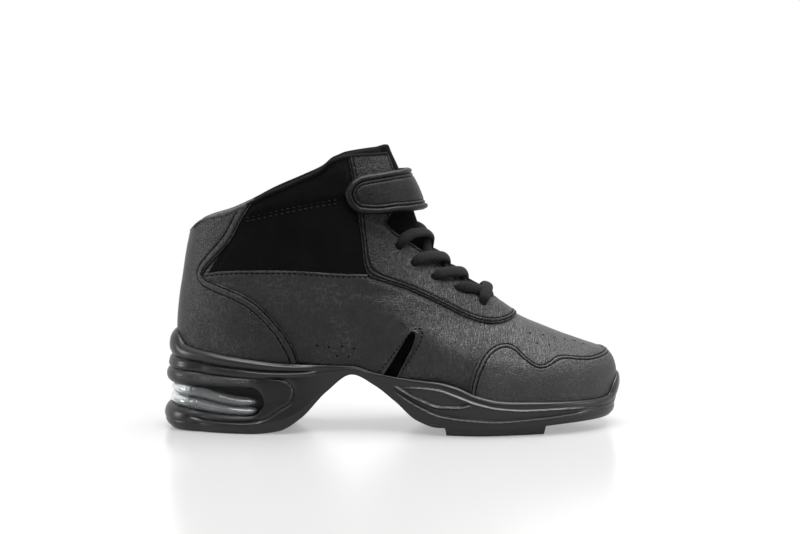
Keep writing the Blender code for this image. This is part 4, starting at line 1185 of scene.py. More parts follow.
def stitch_runs(rows, heights):
    """The rows that are pressed in lowest carry the stitches."""
    lower = (heights[1:-1] < heights[:-2]) & (heights[1:-1] < heights[2:])
    low = [k for k in np.nonzero(lower)[0] + 1 if k > 1]
    return [StitchRun(rows[k], heights[k] + STITCH_LIFT) for k in low]


def lay_over(name, nodes, rows, heights, look, slot="leather", thick=0.8):
    """A patch of leather or cloth that follows the upper's skin at the height of each row."""
    level, angle = rows[..., 0], rows[..., 1]
    base, normal = last_point(level, angle), last_normal(level, angle)
    heights = np.asarray(heights, float)
    heights = heights[:, None] if heights.ndim == 1 else heights
    height = heights + skin_relief(level, base)
    piece = add_grid(name, base + normal * height[..., None], normal, {"flex": flex_of(base)})
    thicken(piece, thick)
    return finish_piece(piece, look, slot, *nodes, angle=50)


# %% Toe cap
TOE_CAP_SEAM = [
    (43.4, 21.5), (43.9, 26.5), (44.8, 31.6), (46.8, 38.8), (49.6, 44.4), (54.0, 49.4), (59.6, 52.3),
    (65.0, 52.9), (69.8, 51.0), (75.0, 46.3), (79.9, 42.2), (84.4, 40.4), (86.6, 41.0), (89.3, 42.3),
    (91.3, 44.0), (93.2, 44.8), (96.5, 44.8), (100.7, 44.4), (108.4, 43.3), (114.0, 43.0),
]
TOE_CAP_FRONT = 124.0
CAP_STATIONS, CAP_FRONT_STEPS, CAP_ROWS = 170, 26, 40
CAP_FOOT_X = (48.8, 114.0)      # the lower edge starts ahead of the seam's own foot
CAP_REAR_X = 48.0
CAP_TURN = (-112.0, -90.0)      # minus x: behind this the cap's rows run upright in the side view
TUCK = 3.0                # what reaches below the sole's rim
CAP_LEAST = 0.0005        # least level between the cap's seam and its foot


def cap_foot(x):
    """The cap's lower edge, tucked under the sole's rim, with outer points at each x."""
    tip = np.array([[level_of_height("rim", np.zeros(1), -TUCK)[0], 0.0]])
    line = on_side(np.column_stack([x, sole_height("rim", x) - TUCK]))
    foot = round_the_front(line, tip, CAP_FRONT_STEPS)
    foot[:, 0] = level_of_height("rim", foot[:, 1], -TUCK)
    return foot


def make_toe_cap():
    line = walk(TOE_CAP_SEAM, CAP_STATIONS)
    seam = round_the_front(on_side(line), on_front(TOE_CAP_FRONT), CAP_FRONT_STEPS)
    foot = cap_foot(np.interp(line[:, 0], [TOE_CAP_SEAM[0][0], TOE_CAP_SEAM[-1][0]], CAP_FOOT_X))
    seam[:, 0] = np.maximum(seam[:, 0], foot[:, 0] + CAP_LEAST)
    rows, heights = seam_rows(seam, foot, SEAM)
    outer = rows[-1, :CAP_STATIONS]
    top = last_point(outer[:, 0], outer[:, 1])[:, [0, 2]]
    x = np.maximum(np.maximum.accumulate(top[:, 0]), CAP_REAR_X)
    body = ruled(rows[-1], cap_foot(x), CAP_ROWS)[1:]
    upright = ruled(top, np.column_stack([x, sole_height("rim", x) - TUCK]), CAP_ROWS)[1:]
    upright = np.array([on_side(row) for row in upright])
    side = body[:, :CAP_STATIONS]
    side += (upright - side) * soft_step(-x, *CAP_TURN)[:, None]
    body[:, -CAP_STATIONS:] = inner_side(side[:, ::-1])
    lay_over("toe_cap_leather", ["toe_cap"], np.concatenate([rows, body]),
             [*heights, *[BODY_HEIGHT] * len(body)], cap_leather)
    return stitch_runs(rows, heights)


toe_cap_runs = make_toe_cap()

# %% Heel counter
COUNTER_SEAM = [(-53.3, 37.6), (-53.6, 40.2), (-54.8, 46.4), (-58.2, 52.7), (-63.9, 61.2), (-69.6, 67.9),
                (-78.2, 75.9), (-86.9, 80.8), (-98.7, 85.5), (-109.0, 90.0), (-103.0, 98.0), (-96.0, 105.5),
                (-90.9, 112.0), (-87.8, 117.9), (-83.7, 125.4), (-79.0, 132.0)]
COUNTER_STATIONS, COUNTER_ROWS = 190, 90


def make_counter():
    edge = on_side(walk(COUNTER_SEAM, COUNTER_STATIONS))
    far = inner_side(edge) + [0, 2 * np.pi]
    rows, heights = seam_rows(edge, far, WIDE_SEAM)
    other = (inner_side(rows.reshape(-1, 2)) + [0, 2 * np.pi]).reshape(rows.shape)
    body = ruled(rows[-1], other[-1], COUNTER_ROWS)[1:-1]
    lay_over("heel_counter_leather", ["heel_counter"], np.concatenate([rows, body, other[::-1]]),
             [*heights, *[BODY_HEIGHT] * len(body), *heights[::-1]], overlay_leather)
    return stitch_runs(rows, heights) + stitch_runs(other, heights)


counter_runs = make_counter()

# %% Facing round the throat
EYESTAY_SEAM = [
    (-25.7, 158.0), (-22.0, 138.0), (-18.5, 117.0), (-14.4, 92.0), (-3.0, 87.2), (8.1, 83.4), (14.7, 80.4),
    (21.9, 77.1), (29.0, 73.5), (36.1, 69.8), (43.3, 66.4), (50.5, 63.9), (57.8, 62.5), (63.8, 62.7),
    (68.2, 64.2),
]
EYESTAY_FRONT, EYESTAY_LEVEL, COLLAR_EDGE = 72.0, 0.386, 0.995
FACING_STATIONS, FACING_FRONT_STEPS, FACING_ROWS = 150, 16, 26
STRAIGHT_LEVEL, TURN_LEVEL = 0.45, 0.43     # the throat's edge is straight down to here, then turns


def make_facing():
    line = on_side(walk(EYESTAY_SEAM, FACING_STATIONS))
    seam = round_the_front(line, on_front(EYESTAY_FRONT), FACING_FRONT_STEPS)
    straight = np.linspace(COLLAR_EDGE, STRAIGHT_LEVEL, 12)
    turn = np.linspace(TURN_LEVEL, EYESTAY_LEVEL + 0.008, 5)
    marks = np.concatenate([straight, turn])
    level = np.interp(np.linspace(0, len(marks) - 1, FACING_STATIONS), np.arange(len(marks)), marks)
    edge = np.column_stack([level, throat_angle(level)])
    throat = round_the_front(edge, np.array([[EYESTAY_LEVEL, 0.0]]), FACING_FRONT_STEPS)
    rows, heights = seam_rows(seam, throat, SEAM)
    inner, inner_heights = seam_rows(throat, seam, EDGE)
    body = ruled(rows[-1], inner[-1], FACING_ROWS)[1:-1]
    lay_over("facing_leather", ["eyestay"], np.concatenate([rows, body, inner[::-1]]),
             [*heights, *[BODY_HEIGHT] * len(body), *inner_heights[::-1]], facing_leather)
    return stitch_runs(rows, heights) + stitch_runs(inner, inner_heights)


facing_runs = make_facing()

# %% [markdown]
# ## Ankle panels and the quarter's edge
#
# Between the counter and the facing the ankle is soft cloth. A row of stitches holds a padded band
# below the collar, so the cloth sinks at that row and swells above it. The leather quarter ends over
# the cloth in a folded edge, which is a narrow strip that melts into the upper's skin.

# %% Ankle panels
CUFF_REAR = [(-107.5, 85.0), (-106.0, 90.0), (-102.0, 97.0), (-96.6, 105.0), (-92.0, 112.0), (-88.6, 118.5),
             (-84.6, 126.0), (-80.4, 132.0)]
CUFF_FRONT = [(-11.5, 84.0), (-13.4, 93.0), (-16.8, 117.0), (-20.4, 138.0), (-24.0, 157.8)]
QUARTER_EDGE = [(-107.0, 91.4), (-96.0, 93.2), (-83.9, 94.0), (-58.1, 94.2), (-32.0, 92.6), (-14.0, 92.0)]
CUFF_ROW = [(-90.0, 120.0), (-83.5, 121.6), (-63.6, 126.2), (-46.6, 129.6), (-29.6, 132.4), (-18.0, 134.4)]
CUFF_ROWS, CUFF_STATIONS, CUFF_THICK = 110, 90, 0.7
CUFF_REST, CUFF_TUCK = 0.55, 1.7      # how far the cloth stands off, and how far it dives under the quarter
ROW_GAP = 2.1                         # between the two rows of stitches


def cuff_height(rows):
    """The cloth swells in its padded band and below it, and sinks at its stitches and its edges."""
    base = last_point(rows[..., 0], rows[..., 1])
    above = base[..., 2] - read_pairs(CUFF_ROW, base[..., 0])
    pad = 1.1 * soft_step(above, 0.6, 6.0) * (1 - soft_step(rows[..., 0], 0.93, 1.0))
    slack = 0.5 * soft_step(-above, 0.6, 9.0) + 0.18 * np.sin(base[..., 0] / 5.2 + base[..., 2] / 8.0)
    across = np.linspace(0, 1, len(rows))[:, None]
    inside = soft_step(across, 0.03, 0.12) * soft_step(-across, -0.97, -0.9)
    tucked = read_pairs(QUARTER_EDGE, base[..., 0]) - base[..., 2]
    row = 0.3 * np.exp(-((above - 1.0) / 2.2) ** 2)
    return CUFF_REST + (pad + slack - row) * inside - CUFF_TUCK * soft_step(tucked, 0.6, 3.2)


def make_cuffs():
    rear, front = on_side(walk(CUFF_REAR, CUFF_STATIONS)), on_side(walk(CUFF_FRONT, CUFF_STATIONS))
    rear[-1, 0] = front[-1, 0] = TOP_LEVEL
    outer = ruled(rear, front, CUFF_ROWS)
    for side, rows in (("lateral", outer), ("medial", inner_side(outer))):
        lay_over("cuff_cloth_" + side, ["cuff_" + side], rows, cuff_height(rows), cuff_cloth, "cloth",
                 CUFF_THICK)
    runs = []
    for shift in (0.0, ROW_GAP):
        line = on_side(walk([(x, z + shift) for x, z in CUFF_ROW[1:-1]], CUFF_STATIONS))
        runs += [StitchRun(line, 0.5), StitchRun(inner_side(line), 0.5)]
    return runs


cuff_runs = make_cuffs()

# %% The quarter's folded edge
FOLD = [
    (0.0, 0.2), (0.12, 0.95), (0.4, 1.3), (0.8, 1.42), (1.3, 1.36), (1.6, 1.16), (1.85, 0.92), (2.1, 1.1),
    (2.7, 1.1), (3.6, 0.85), (4.8, 0.45), (6.2, 0.05), (7.4, -0.25),
]
FOLD_STATIONS = 150


def make_quarter_edges():
    line = on_side(walk(QUARTER_EDGE, FOLD_STATIONS))
    below = on_side(walk([(x, z - 20) for x, z in QUARTER_EDGE], FOLD_STATIONS))
    runs = []
    for side, turned in (("lateral", 1), ("medial", -1)):
        rows, heights = seam_rows(line * [1, turned], below * [1, turned], FOLD)
        lay_over("quarter_fold_" + side, [], rows, heights, upper_leather, thick=0.5)
        runs += stitch_runs(rows, heights)
    return runs


quarter_runs = make_quarter_edges()

# %% [markdown]
# ## Rolled edges
#
# The collar is bound with a narrow roll, and the gore slots have a corded edge. A roll is an oval
# swept along a line. A curve with a bevel would do, but a grid keeps its ends and its weave in hand.

# %% Tubes along a line

def add_tube(name, path, side, wide, high, sides=12):
    """An oval tube along a path; side gives the direction of its width."""
    along = unit(np.gradient(path, axis=0))
    side = unit(side - along * (side * along).sum(-1, keepdims=True))
    top = np.cross(side, along)
    turn = np.linspace(0, 2 * np.pi, sides + 1)[:, None, None]
    wide, high = np.broadcast_to(wide, len(path)), np.broadcast_to(high, len(path))
    points = path + side * np.cos(turn) * wide[:, None] / 2 + top * np.sin(turn) * high[:, None] / 2
    tube = add_grid(name, points, points - path)
    in_edit_mode(tube, merge_points, close_ends, face_outward)
    return tube


HEEL_TAB_X = -83.0        # behind this the collar is bound in the counter's leather, ahead of it in cloth
COLLAR_STATIONS, COLLAR_WIDE, COLLAR_HIGH, COLLAR_SIDES = 170, 3.9, 2.6, 14


def make_collar():
    start = throat_angle(np.array([1.0]))[0]
    angle = start + whole_turn(COLLAR_STATIONS) * (1 - start / np.pi)
    level = np.full_like(angle, 1.0)
    path = over_last(level, angle, np.full_like(angle, -0.5))
    roll = add_tube("collar_roll", path, last_normal(level, angle), COLLAR_WIDE, COLLAR_HIGH, COLLAR_SIDES)
    roll.data.materials.append(binding_cloth)
    roll.data.materials.append(overlay_leather)
    for face in roll.data.polygons:
        face.material_index = int(face.center.x < HEEL_TAB_X * MM)
    return finish_piece(roll, None, "leather")


make_collar()

# %% Elastic gores and their corded slots
GORE_DEPTH, GORE_THICK = 1.0, 0.8
GORE_SPREAD = (1.35, 1.05)      # the elastic is wider and longer than its slot
GORE_STATIONS, GORE_ROWS = 60, 24
CORD_THICK, CORD_LIFT, CORD_SIDES = 1.3, 0.35, 10


def widen_slot(*spread):
    """The slot's points, moved away from its middle."""
    middle = SLOT_OUTLINE.mean(axis=0)
    return middle + (np.array(GORE_SLOT) - middle) * spread


def make_gore(name, node, turned):
    wider = widen_slot(*GORE_SPREAD)
    left, right = on_side(walk(wider[:6], GORE_STATIONS)), on_side(walk(wider[:5:-1], GORE_STATIONS))
    rows = ruled(left, right, GORE_ROWS) * [1, turned]
    height = np.full(rows.shape[:2], -GORE_DEPTH)
    level, angle = rows[..., 0], rows[..., 1]
    piece = add_grid(name, over_last(level, angle, height), last_normal(level, angle))
    thicken(piece, GORE_THICK)
    finish_piece(piece, elastic_look, "elastic", node)
    line = on_side(SLOT_OUTLINE) * [1, turned]
    path = over_last(line[:, 0], line[:, 1], np.full(len(line), CORD_LIFT))
    normal = last_normal(line[:, 0], line[:, 1])
    cord = add_tube(name + "_cord", path, normal, CORD_THICK, CORD_THICK, CORD_SIDES)
    finish_piece(cord, overlay_leather, "leather")


for side, turned in (("lateral", 1), ("medial", -1)):
    make_gore("gore_elastic_" + side, "gore_" + side, turned)

# %% [markdown]
# ## The tongue
#
# The tongue is a soft pad under the facing. It rises a little into the throat, and its top stands
# above the collar. Its front and its back share one rim, so the pad is closed when both are merged.

# %% Tongue
TONGUE_ROOT, TONGUE_TOP, TONGUE_SLOPE, TONGUE_CROWN, TONGUE_THICK = 0.375, 1.045, 0.035, 4.0, 4.6
TONGUE_REACH = [(0.37, 14.0), (0.5, 19.0), (0.7, 26.0), (0.9, 30.0), (1.1, 30.5)]
TONGUE_LONG, TONGUE_RIM, TONGUE_SINK = 108.0, 2.6, 2.8     # its length, its rounded rim and its depth
TONGUE_GAP = 1.5          # between its raised middle and the facing's edge
TONGUE_START, TONGUE_RISE = 0.41, 0.05      # the level where its middle starts to rise, and over how much
TONGUE_ROWS, TONGUE_COLUMNS = 81, 120


def make_tongue():
    along, across = np.linspace(0, 1, TONGUE_COLUMNS), np.linspace(-1, 1, TONGUE_ROWS)[:, None]
    level = TONGUE_ROOT + along * (TONGUE_TOP - TONGUE_ROOT - TONGUE_SLOPE * across ** 2)
    spine = level[TONGUE_ROWS // 2]
    reach = read_pairs(TONGUE_REACH, spine)
    angle = np.zeros_like(level)
    turn = np.linspace(0, 1.8, LINE_POINTS)
    for k, wide in enumerate(reach):
        y = last_point(np.full_like(turn, spine[k]), turn)[:, 1]
        angle[:, k] = across[:, 0] * np.interp(wide, y[0] - y, turn)
    opening = read_pairs(THROAT_LINE, np.maximum(level, THROAT_LEVEL))
    y = np.abs(last_point(level, angle)[..., 1] - last_point(level, 0 * angle)[..., 1])
    inside = np.clip(1 - y / np.maximum(opening - TONGUE_GAP, 1.0), 0, 1)
    crown = inside * np.clip((level - TONGUE_START) / TONGUE_RISE, 0, 1)
    rim = np.minimum((1 - np.abs(across)) * reach, np.minimum(along, 1 - along) * TONGUE_LONG)
    thick = TONGUE_THICK * np.sqrt(1 - (1 - np.clip(rim / TONGUE_RIM, 0, 1)) ** 2)
    middle = TONGUE_CROWN * crown * (2 - crown) - TONGUE_SINK - TONGUE_THICK / 2
    normal = last_normal(level, angle)
    base = last_point(level, angle) + normal * (middle + waver(last_point(level, angle), 0.3))[..., None]
    front, back = base + normal * thick[..., None] / 2, base - normal * thick[..., None] / 2
    tongue = add_grid("tongue_pad", np.concatenate([front, back[::-1]]))
    in_edit_mode(tongue, merge_points, face_outward)
    finish_piece(tongue, tongue_cloth, "cloth", "tongue", angle=60)


make_tongue()

# %% [markdown]
# ## The ankle strap
#
# The strap is foam wrapped in leather. Its rim is turned and rolled, with two rows of stitches inside
# it. The height of its face depends on the distance to its own outline, so the roll and the rows
# follow the rounded ends too.

# %% Strap
STRAP_LOW = [(-27.6, 137.2), (-27.0, 135.0), (-24.8, 130.4), (-19.5, 126.2), (-9.0, 125.0), (0.0, 125.6)]
STRAP_HIGH = [(-27.6, 137.2), (-27.0, 139.4), (-24.8, 143.6), (-19.5, 147.0), (-9.0, 148.4), (-3.0, 149.0)]
STRAP_FRONT_LOW_X, STRAP_FRONT_HIGH_X, STRAP_BULGE = 11.8, 3.4, (4.0, 1.4)
STRAP_ROWS, STRAP_STATIONS, STRAP_FRONT_STEPS, STRAP_BACK_STEP = 74, 110, 60, 6
STRAP_OFF, STRAP_CLOSE = 2.7, 0.7     # how far the back stands off the last, and how much less at the ends
STRAP_FACE = [            # distances from the strap's outline, with the height of its face at each
    (0.0, 0.0), (0.08, 0.9), (0.3, 1.8), (0.8, 2.7), (1.5, 3.2), (2.2, 3.3), (2.8, 3.0), (3.2, 2.5),
    (3.55, 1.9), (3.9, 2.4), (4.5, 2.65), (5.1, 2.45), (5.5, 1.95), (5.9, 2.4), (6.6, 2.6), (9.0, 2.75),
    (12.0, 2.85),
]


def strap_edge(line, front_x):
    return round_the_front(on_side(walk(line, STRAP_STATIONS)), on_front(front_x), STRAP_FRONT_STEPS)


def strap_lines():
    low, high = strap_edge(STRAP_LOW, STRAP_FRONT_LOW_X), strap_edge(STRAP_HIGH, STRAP_FRONT_HIGH_X)
    return ruled(low, high, STRAP_ROWS)


def strap_base(rows):
    """The strap's back, which bulges over the tongue and lies close to the cuffs at its ends."""
    bulge = np.linspace(*STRAP_BULGE, len(rows))[:, None] * np.clip(1 - np.abs(rows[..., 1]), 0, 1)
    close = STRAP_CLOSE * soft_step(np.abs(rows[..., 1]), 0.8, 1.2)
    return over_last(rows[..., 0], rows[..., 1], STRAP_OFF - close + bulge)


def make_strap():
    rows = strap_lines()
    base, normal = strap_base(rows), last_normal(rows[..., 0], rows[..., 1])
    outline = np.concatenate([base[0], base[-1]])
    gap = np.array([np.linalg.norm(line[:, None] - outline[None], axis=2).min(axis=1) for line in base])
    gap[0] = gap[-1] = 0.0
    face = base + normal * read_pairs(STRAP_FACE, gap)[..., None]
    back = base[::-1][::STRAP_BACK_STEP]
    strap = add_grid("ankle_strap", np.concatenate([face, back, base[:1]]))
    in_edit_mode(strap, merge_points, face_outward)
    finish_piece(strap, strap_leather, "leather", "strap", angle=60)
    return base, normal, gap


strap_shape = make_strap()

# %% [markdown]
# ## The lace
#
# The lace is a fat woven cord. A bar crosses the lowest pair of eyelets from outside. Above it every
# eyelet has a strand that leaves it over the facing, runs towards the toe across the tongue and tucks
# under the other side of the facing, where it goes on to the next eyelet down out of sight.

# %% Lace
EYELETS = [(51.6, 73.6), (37.2, 82.0), (23.6, 88.8), (12.0, 97.0), (3.2, 107.0)]
LACE_WIDE, LACE_HIGH = 6.8, 3.9
LACE_SIDES, LACE_RINGS, LACE_END = 20, 80, 0.62     # an end is drawn in to this share of its width
LACE_SHARE = [0.0, 0.012, 0.05, 0.12, 0.24, 0.38, 0.5, 0.62, 0.76, 0.88, 0.95, 0.988, 1.0]
BAR_LIFT, BAR_AHEAD = 1.9, 1.5
OVER_LIFT, FIRST_LIFT, UNDER_DROP = 1.9, -0.2, 2.4     # the under strands lie lower by the drop
OVER_AHEAD, UNDER_AHEAD, TUCK_TURN = 4.0, 2.0, 0.1
BAR_RISE = [-2.4, 0.0, 1.9, 2.7, 2.9, 2.9, 2.9, 2.9, 2.9, 2.7, 1.9, 0.0, -2.4]
STRAND_RISE = [-2.4, 0.0, 1.9, 2.7, 2.9, 2.9, 2.8, 2.3, 1.2, 0.0, -0.6, -0.9, -1.0]


def level_ahead(x, angle):
    """The level at which the last reaches x, for each angle near its front line."""
    low, high = np.full_like(x, 0.2), np.full_like(x, 1.1)
    for _ in range(HALVINGS):
        middle = (low + high) / 2
        beyond = last_point(middle, angle)[:, 0] > x
        low, high = np.where(beyond, middle, low), np.where(beyond, high, middle)
    return high


def lace_strand(name, start, end, rise, lift, ahead):
    """One run of lace between two places on the last, bowed towards the toe."""
    share = np.array(LACE_SHARE)
    ends = last_point(*np.array([start, end]).T)[:, 0]
    swell = np.sin(np.pi * share) ** 1.5
    x = ends[0] * (1 - share) + ends[1] * share + ahead * swell
    angle = start[1] * (1 - share) + end[1] * share
    points = over_last(level_ahead(x, angle), angle, np.array(rise) + lift * swell)
    path = walk(points, LACE_RINGS)
    run = np.linspace(0, 1, LACE_RINGS)
    taper = LACE_END + (1 - LACE_END) * soft_step(np.minimum(run, 1 - run), 0.02, 0.16)
    side = np.cross(points[-3] - points[2], points[6] - (points[-3] + points[2]) / 2)
    side = np.broadcast_to(unit(side), path.shape)
    return add_tube(name, path, side, LACE_WIDE * taper, LACE_HIGH * taper, LACE_SIDES)


def make_lace():
    outer = on_side(EYELETS)
    inner = inner_side(outer)
    tucked = np.column_stack([outer[:, 0], throat_angle(outer[:, 0]) + TUCK_TURN])
    strands = [lace_strand("lacing", outer[0], inner[0], BAR_RISE, BAR_LIFT, BAR_AHEAD)]
    for k in range(len(EYELETS) - 1):
        lift = OVER_LIFT if k else FIRST_LIFT
        under = (inner[k + 1], tucked[k], STRAND_RISE, lift - UNDER_DROP, UNDER_AHEAD)
        over = (outer[k + 1], inner_side(tucked[k]), STRAND_RISE, lift, OVER_AHEAD)
        strands += [lace_strand("under_strand", *under), lace_strand("over_strand", *over)]
    return finish_piece(join_pieces(*strands), lace_cord, "lace", "lace", angle=70)


make_lace()

# %% [markdown]
# ## The insole
#
# The insole is a padded sheet that dips under the heel and the ball. It is spanned between the two
# sides of the sole's seat, then thickened downward.

# %% Insole
INSOLE_THICK, INSOLE_HIGH, INSOLE_IN, INSOLE_DISH = 3.0, 4.3, 3.0, 0.9
INSOLE_STATIONS, INSOLE_ROWS = 100, 25


def insole_height(x):
    return sole_height("seat", x) + INSOLE_HIGH


def make_insole():
    angle = round_angles(INSOLE_STATIONS)
    edges = []
    for side in (angle, 2 * np.pi - angle):
        edges.append(wall_ring(side, insole_height, np.full_like(side, -INSOLE_IN)))
    share = np.linspace(0, 1, INSOLE_ROWS)[:, None, None]
    sheet = edges[0][None] * (1 - share) + edges[1][None] * share
    dish = (1 - (2 * share[..., 0] - 1) ** 2)
    x = sheet[..., 0]
    sheet[..., 2] -= INSOLE_DISH * dish * (soft_step(-x, 55, 85) + soft_step(x, 20, 60))
    insole = add_grid("insole_pad", sheet, np.broadcast_to([0.0, 0.0, 1.0], sheet.shape))
    in_edit_mode(insole, merge_points)
    thicken(insole, INSOLE_THICK)
    return finish_piece(insole, insole_cloth, "insole", "insole", angle=60)


make_insole()

# %% [markdown]
# ## Stitches and punched holes
#
# Thread shows as short raised dashes with their ends pulled into the leather. One stitch is modelled
# from a small sphere and copied along each seam. The breathing holes and the eyelets are not cut: they
# are copies of a small dark plug whose face stands a hair above the leather, its near-black painted
# shade for the inside of each hole, darker than the black lining behind it.

# %% Copies of one small form

def copy_form(name, form, centres, along, up, size, dip=0.0):
    """One mesh of copies of a form, each turned to its own place."""
    shape = np.array([vertex.co[:] for vertex in form.data.vertices])
    local = shape * size
    local[:, 2] -= dip * shape[:, 0] ** 2
    along = unit(along - up * (along * up).sum(-1, keepdims=True))
    side = np.cross(up, along)
    axes = np.stack([along, side, up], axis=1)
    points = centres[:, None] + local @ axes
    corners = [tuple(face.vertices) for face in form.data.polygons]
    starts = range(0, len(centres) * len(local), len(local))
    faces = [tuple(start + index for index in face) for start in starts for face in corners]
    mesh = bpy.data.meshes.new(name)
    mesh.from_pydata(((points.reshape(-1, 3) + CENTRE) * MM).tolist(), [], faces)
    piece = bpy.data.objects.new(name, mesh)
    bpy.context.scene.collection.objects.link(piece)
    return piece


def stitch_places(path, normal, pitch):
    """Even places along a path, with the direction of the thread and the leather's normal."""
    along = np.concatenate([[0.0], np.cumsum(np.linalg.norm(np.diff(path, axis=0), axis=1))])
    at = np.arange(pitch / 2, along[-1], pitch)
    heading = unit(np.gradient(path, axis=0))
    return [np.column_stack([np.interp(at, along, values[:, axis]) for axis in range(3)])
            for values in (path, heading, normal)]


bpy.ops.object.select_all(action="DESELECT")
bpy.ops.mesh.primitive_uv_sphere_add(segments=6, ring_count=4, radius=1.0, rotation=(0, np.pi / 2, 0))
bpy.ops.object.transform_apply(rotation=True)
stitch_form = bpy.context.object
bpy.ops.object.select_all(action="DESELECT")
bpy.ops.mesh.primitive_cylinder_add(vertices=12, radius=1.0, depth=2.0)
plug_form = bpy.context.object
THREAD_HALF, THREAD_DIP = (0.4, 0.34), 0.25     # half a stitch's width and height; how far its ends sink


def sew_places(name, places, size, dip, look):
    centres, along, up = (np.concatenate(parts) for parts in zip(*places))
    thread = copy_form(name, stitch_form, centres, along, up, size, dip)
    return finish_piece(thread, look, "cloth", angle=80)


def sew(name, runs, pitch=3.1, length=2.5, look=thread_look):
    places = []
    for run in runs:
        level, angle = run.line.T
        base = last_point(level, angle)
        path = over_last(level, angle, run.height + skin_relief(level, base))
        places.append(stitch_places(path, last_normal(level, angle), pitch))
    return sew_places(name, places, (length / 2, *THREAD_HALF), THREAD_DIP, look)


# %% Sewing the seams
STRAP_STITCHES = (3.55, 5.5)    # how far the strap's two rows lie inside its outline
SLOT_FOOT = 35.5                # no stitch lies lower than this beside the slot
SLOT_SEW_SPREAD, SLOT_SEW_HEIGHT = (1.4, 1.1), 0.06
STRAP_THREAD, STRAP_DIP, STRAP_PITCH = (1.2, 0.36, 0.3), 0.22, 3.0
sew("toe_cap_thread", toe_cap_runs)
sew("counter_thread", counter_runs)
sew("facing_thread", facing_runs)
sew("quarter_thread", quarter_runs)
sew("cuff_thread", cuff_runs, 3.4, 2.0, pale_thread)


def slot_runs():
    around = walk(widen_slot(*SLOT_SEW_SPREAD), 120)
    line = on_side(around[around[:, 1] > SLOT_FOOT])
    return [StitchRun(line, SLOT_SEW_HEIGHT), StitchRun(inner_side(line), SLOT_SEW_HEIGHT)]


def sew_strap():
    """Two rows inside the strap's rolled rim."""
    base, normal, gap = strap_shape
    half = np.arange(STRAP_ROWS // 2)
    places = []
    for distance in STRAP_STITCHES:
        face = float(read_pairs(STRAP_FACE, distance)) + 0.14
        for rows in (half, STRAP_ROWS - 1 - half):
            inside = gap[rows] > distance
            first = rows[inside.argmax(axis=0)]
            columns = np.nonzero(inside.any(axis=0))[0]
            path = (base + normal * face)[first[columns], columns]
            places.append(stitch_places(path, normal[first[columns], columns], STRAP_PITCH))
    return sew_places("strap_thread", places, STRAP_THREAD, STRAP_DIP, thread_look)


sew("gore_thread", slot_runs(), 2.8, 2.0)
sew_strap()

# %% Breathing holes and eyelets
VENTS = [
    (79.4, 56.8), (87.5, 55.3), (83.4, 51.6), (90.3, 50.2), (94.2, 53.3), (100.3, 51.8), (106.4, 50.3),
    (111.8, 48.5), (-42.9, 51.0), (-36.1, 50.2), (-28.7, 50.7), (-21.8, 49.6), (-31.5, 45.0), (-24.9, 44.8),
]
PLUG_HALF = 0.3           # half a plug's height


def punch(name, spots, radius, top):
    """Dark plugs whose faces stand just above the leather, on both sides of the shoe; the dark face is
    painted shade for the inside of an open hole.
    """
    line = on_side(spots)
    line = np.concatenate([line, inner_side(line)])
    level, angle = line.T
    up = last_normal(level, angle)
    centres = over_last(level, angle, skin_relief(level, last_point(level, angle)) + top - PLUG_HALF)
    size = (radius, radius, PLUG_HALF)
    plugs = copy_form(name, plug_form, centres, last_slopes(level, angle)[1], up, size)
    return finish_piece(plugs, hole_shade_look, "leather", angle=30)


punch("vent_holes", VENTS, 0.6, 0.12)
punch("eyelet_holes", EYELETS, 2.5, 1.26)
for form in (stitch_form, plug_form):
    bpy.data.objects.remove(form)

# %% [markdown]
# ## Camera, floor and light
#
# The shoe stands on a pale floor under a large soft lamp, with weaker light from the front and from
# both sides, so its upward faces are grey and its sides nearly black. The floor glows a little, which
# keeps its shadow light. The camera has a long lens, close to level with the shoe.

# %% Camera
CAMERA_PLACE, CAMERA_TARGET = Vector((0.0040, -1.1955, 0.197)), Vector((0.0040, 0.0, 0.093))
LENS_LONG, SENSOR_WIDE = 92.3, 36.0
camera = bpy.data.objects.new("camera", bpy.data.cameras.new("camera"))
bpy.context.scene.collection.objects.link(camera)
camera.location = CAMERA_PLACE
camera.rotation_euler = (CAMERA_TARGET - camera.location).to_track_quat("-Z", "Y").to_euler()
camera.data.lens = LENS_LONG
camera.data.sensor_width = SENSOR_WIDE
bpy.context.scene.camera = camera
print("camera at", [round(v, 3) for v in camera.location])

# %% Floor and lamps
FLOOR_BACK = 0.375        # the far edge of the table, metres behind the shoe
FLOOR_SIZE, FLOOR_GREY, FLOOR_GLOW = (14.0, 4.0), 0.245, 0.3
bpy.ops.object.select_all(action="DESELECT")
bpy.ops.mesh.primitive_plane_add(size=1.0)
floor = bpy.context.object
floor.name = "floor"
floor.scale = (*FLOOR_SIZE, 1.0)
floor.location = (0.0, FLOOR_BACK - FLOOR_SIZE[1] / 2, 0.0)
bpy.ops.object.transform_apply(location=True, scale=True)
pale_floor, tree, shader = new_look("pale_floor", 0.2, 0.15)
shader.inputs["Base Color"].default_value = (FLOOR_GREY, FLOOR_GREY, FLOOR_GREY, 1.0)
shader.inputs["Emission Color"].default_value = (1.0, 1.0, 1.0, 1.0)
shader.inputs["Emission Strength"].default_value = FLOOR_GLOW
floor.data.materials.append(pale_floor)


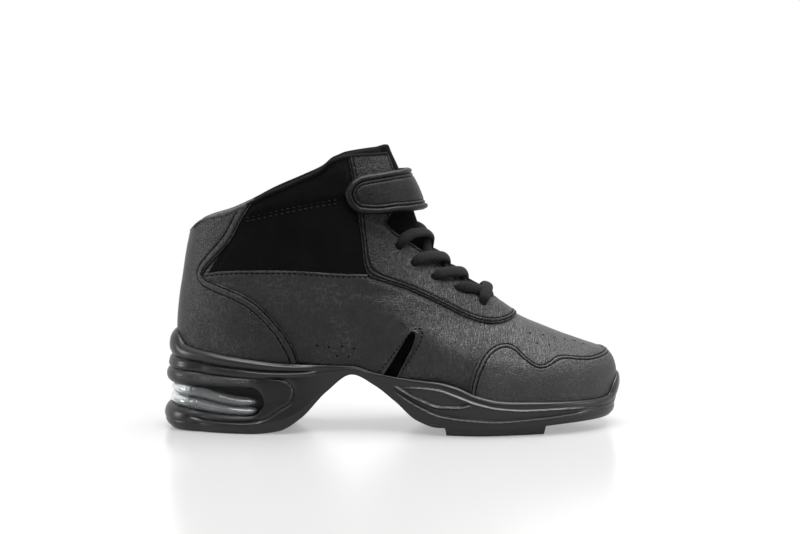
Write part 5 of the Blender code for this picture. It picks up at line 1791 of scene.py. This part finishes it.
def add_lamp(name, place, target, size, power):
    lamp = bpy.data.lights.new(name, "AREA")
    lamp.shape, lamp.size, lamp.size_y, lamp.energy = "RECTANGLE", size[0], size[1], power
    holder = bpy.data.objects.new(name, lamp)
    bpy.context.scene.collection.objects.link(holder)
    holder.location = place
    holder.rotation_euler = (Vector(target) - Vector(place)).to_track_quat("-Z", "Y").to_euler()
    return holder


# each lamp's place and target in metres, its size and its power in watts
add_lamp("top_lamp", (0.15, -0.1, 1.1), (0.0, 0.0, 0.05), (1.3, 0.9), 34.0)
add_lamp("front_lamp", (0.65, -1.15, 1.1), (0.05, 0.0, 0.06), (0.6, 0.4), 3.0)
add_lamp("left_lamp", (-1.2, -0.3, 0.35), (-0.1, 0.0, 0.1), (0.4, 0.5), 7.0)
add_lamp("right_lamp", (1.2, -0.4, 0.35), (0.1, 0.0, 0.05), (0.4, 0.4), 4.0)
print("lamps and floor set")

# %% Surroundings
OVERHEAD_LIGHT, BEHIND_LIGHT, EVEN_LIGHT = 0.3, 0.9, 0.05      # how bright each part of the room is
world = bpy.data.worlds.new("studio")
bpy.context.scene.world = world
world.use_nodes = True
tree = world.node_tree
way = add_node(tree, "SeparateXYZ", None, {0: add_node(tree, "TexCoord").outputs["Generated"]})
overhead = map_range(tree, way.outputs[2], 0.15, 0.95, 0.0, OVERHEAD_LIGHT)
behind = map_range(tree, way.outputs[1], -0.3, 0.4, 0.0, BEHIND_LIGHT)
room = math(tree, "ADD", math(tree, "ADD", overhead, behind), EVEN_LIGHT)
rays = add_node(tree, "LightPath")
seen = math(tree, "MAXIMUM", rays.outputs["Is Camera Ray"], rays.outputs["Is Transmission Ray"])
strength = add_node(tree, "Mix", {"data_type": "FLOAT"}, {0: seen, 2: room, 3: 1.0}).outputs[0]
background = tree.nodes["Background"]
background.inputs["Color"].default_value = (1.0, 1.0, 1.0, 1.0)
tree.links.new(strength, background.inputs["Strength"])
bpy.context.scene.view_settings.view_transform = "Standard"
print("surroundings set")
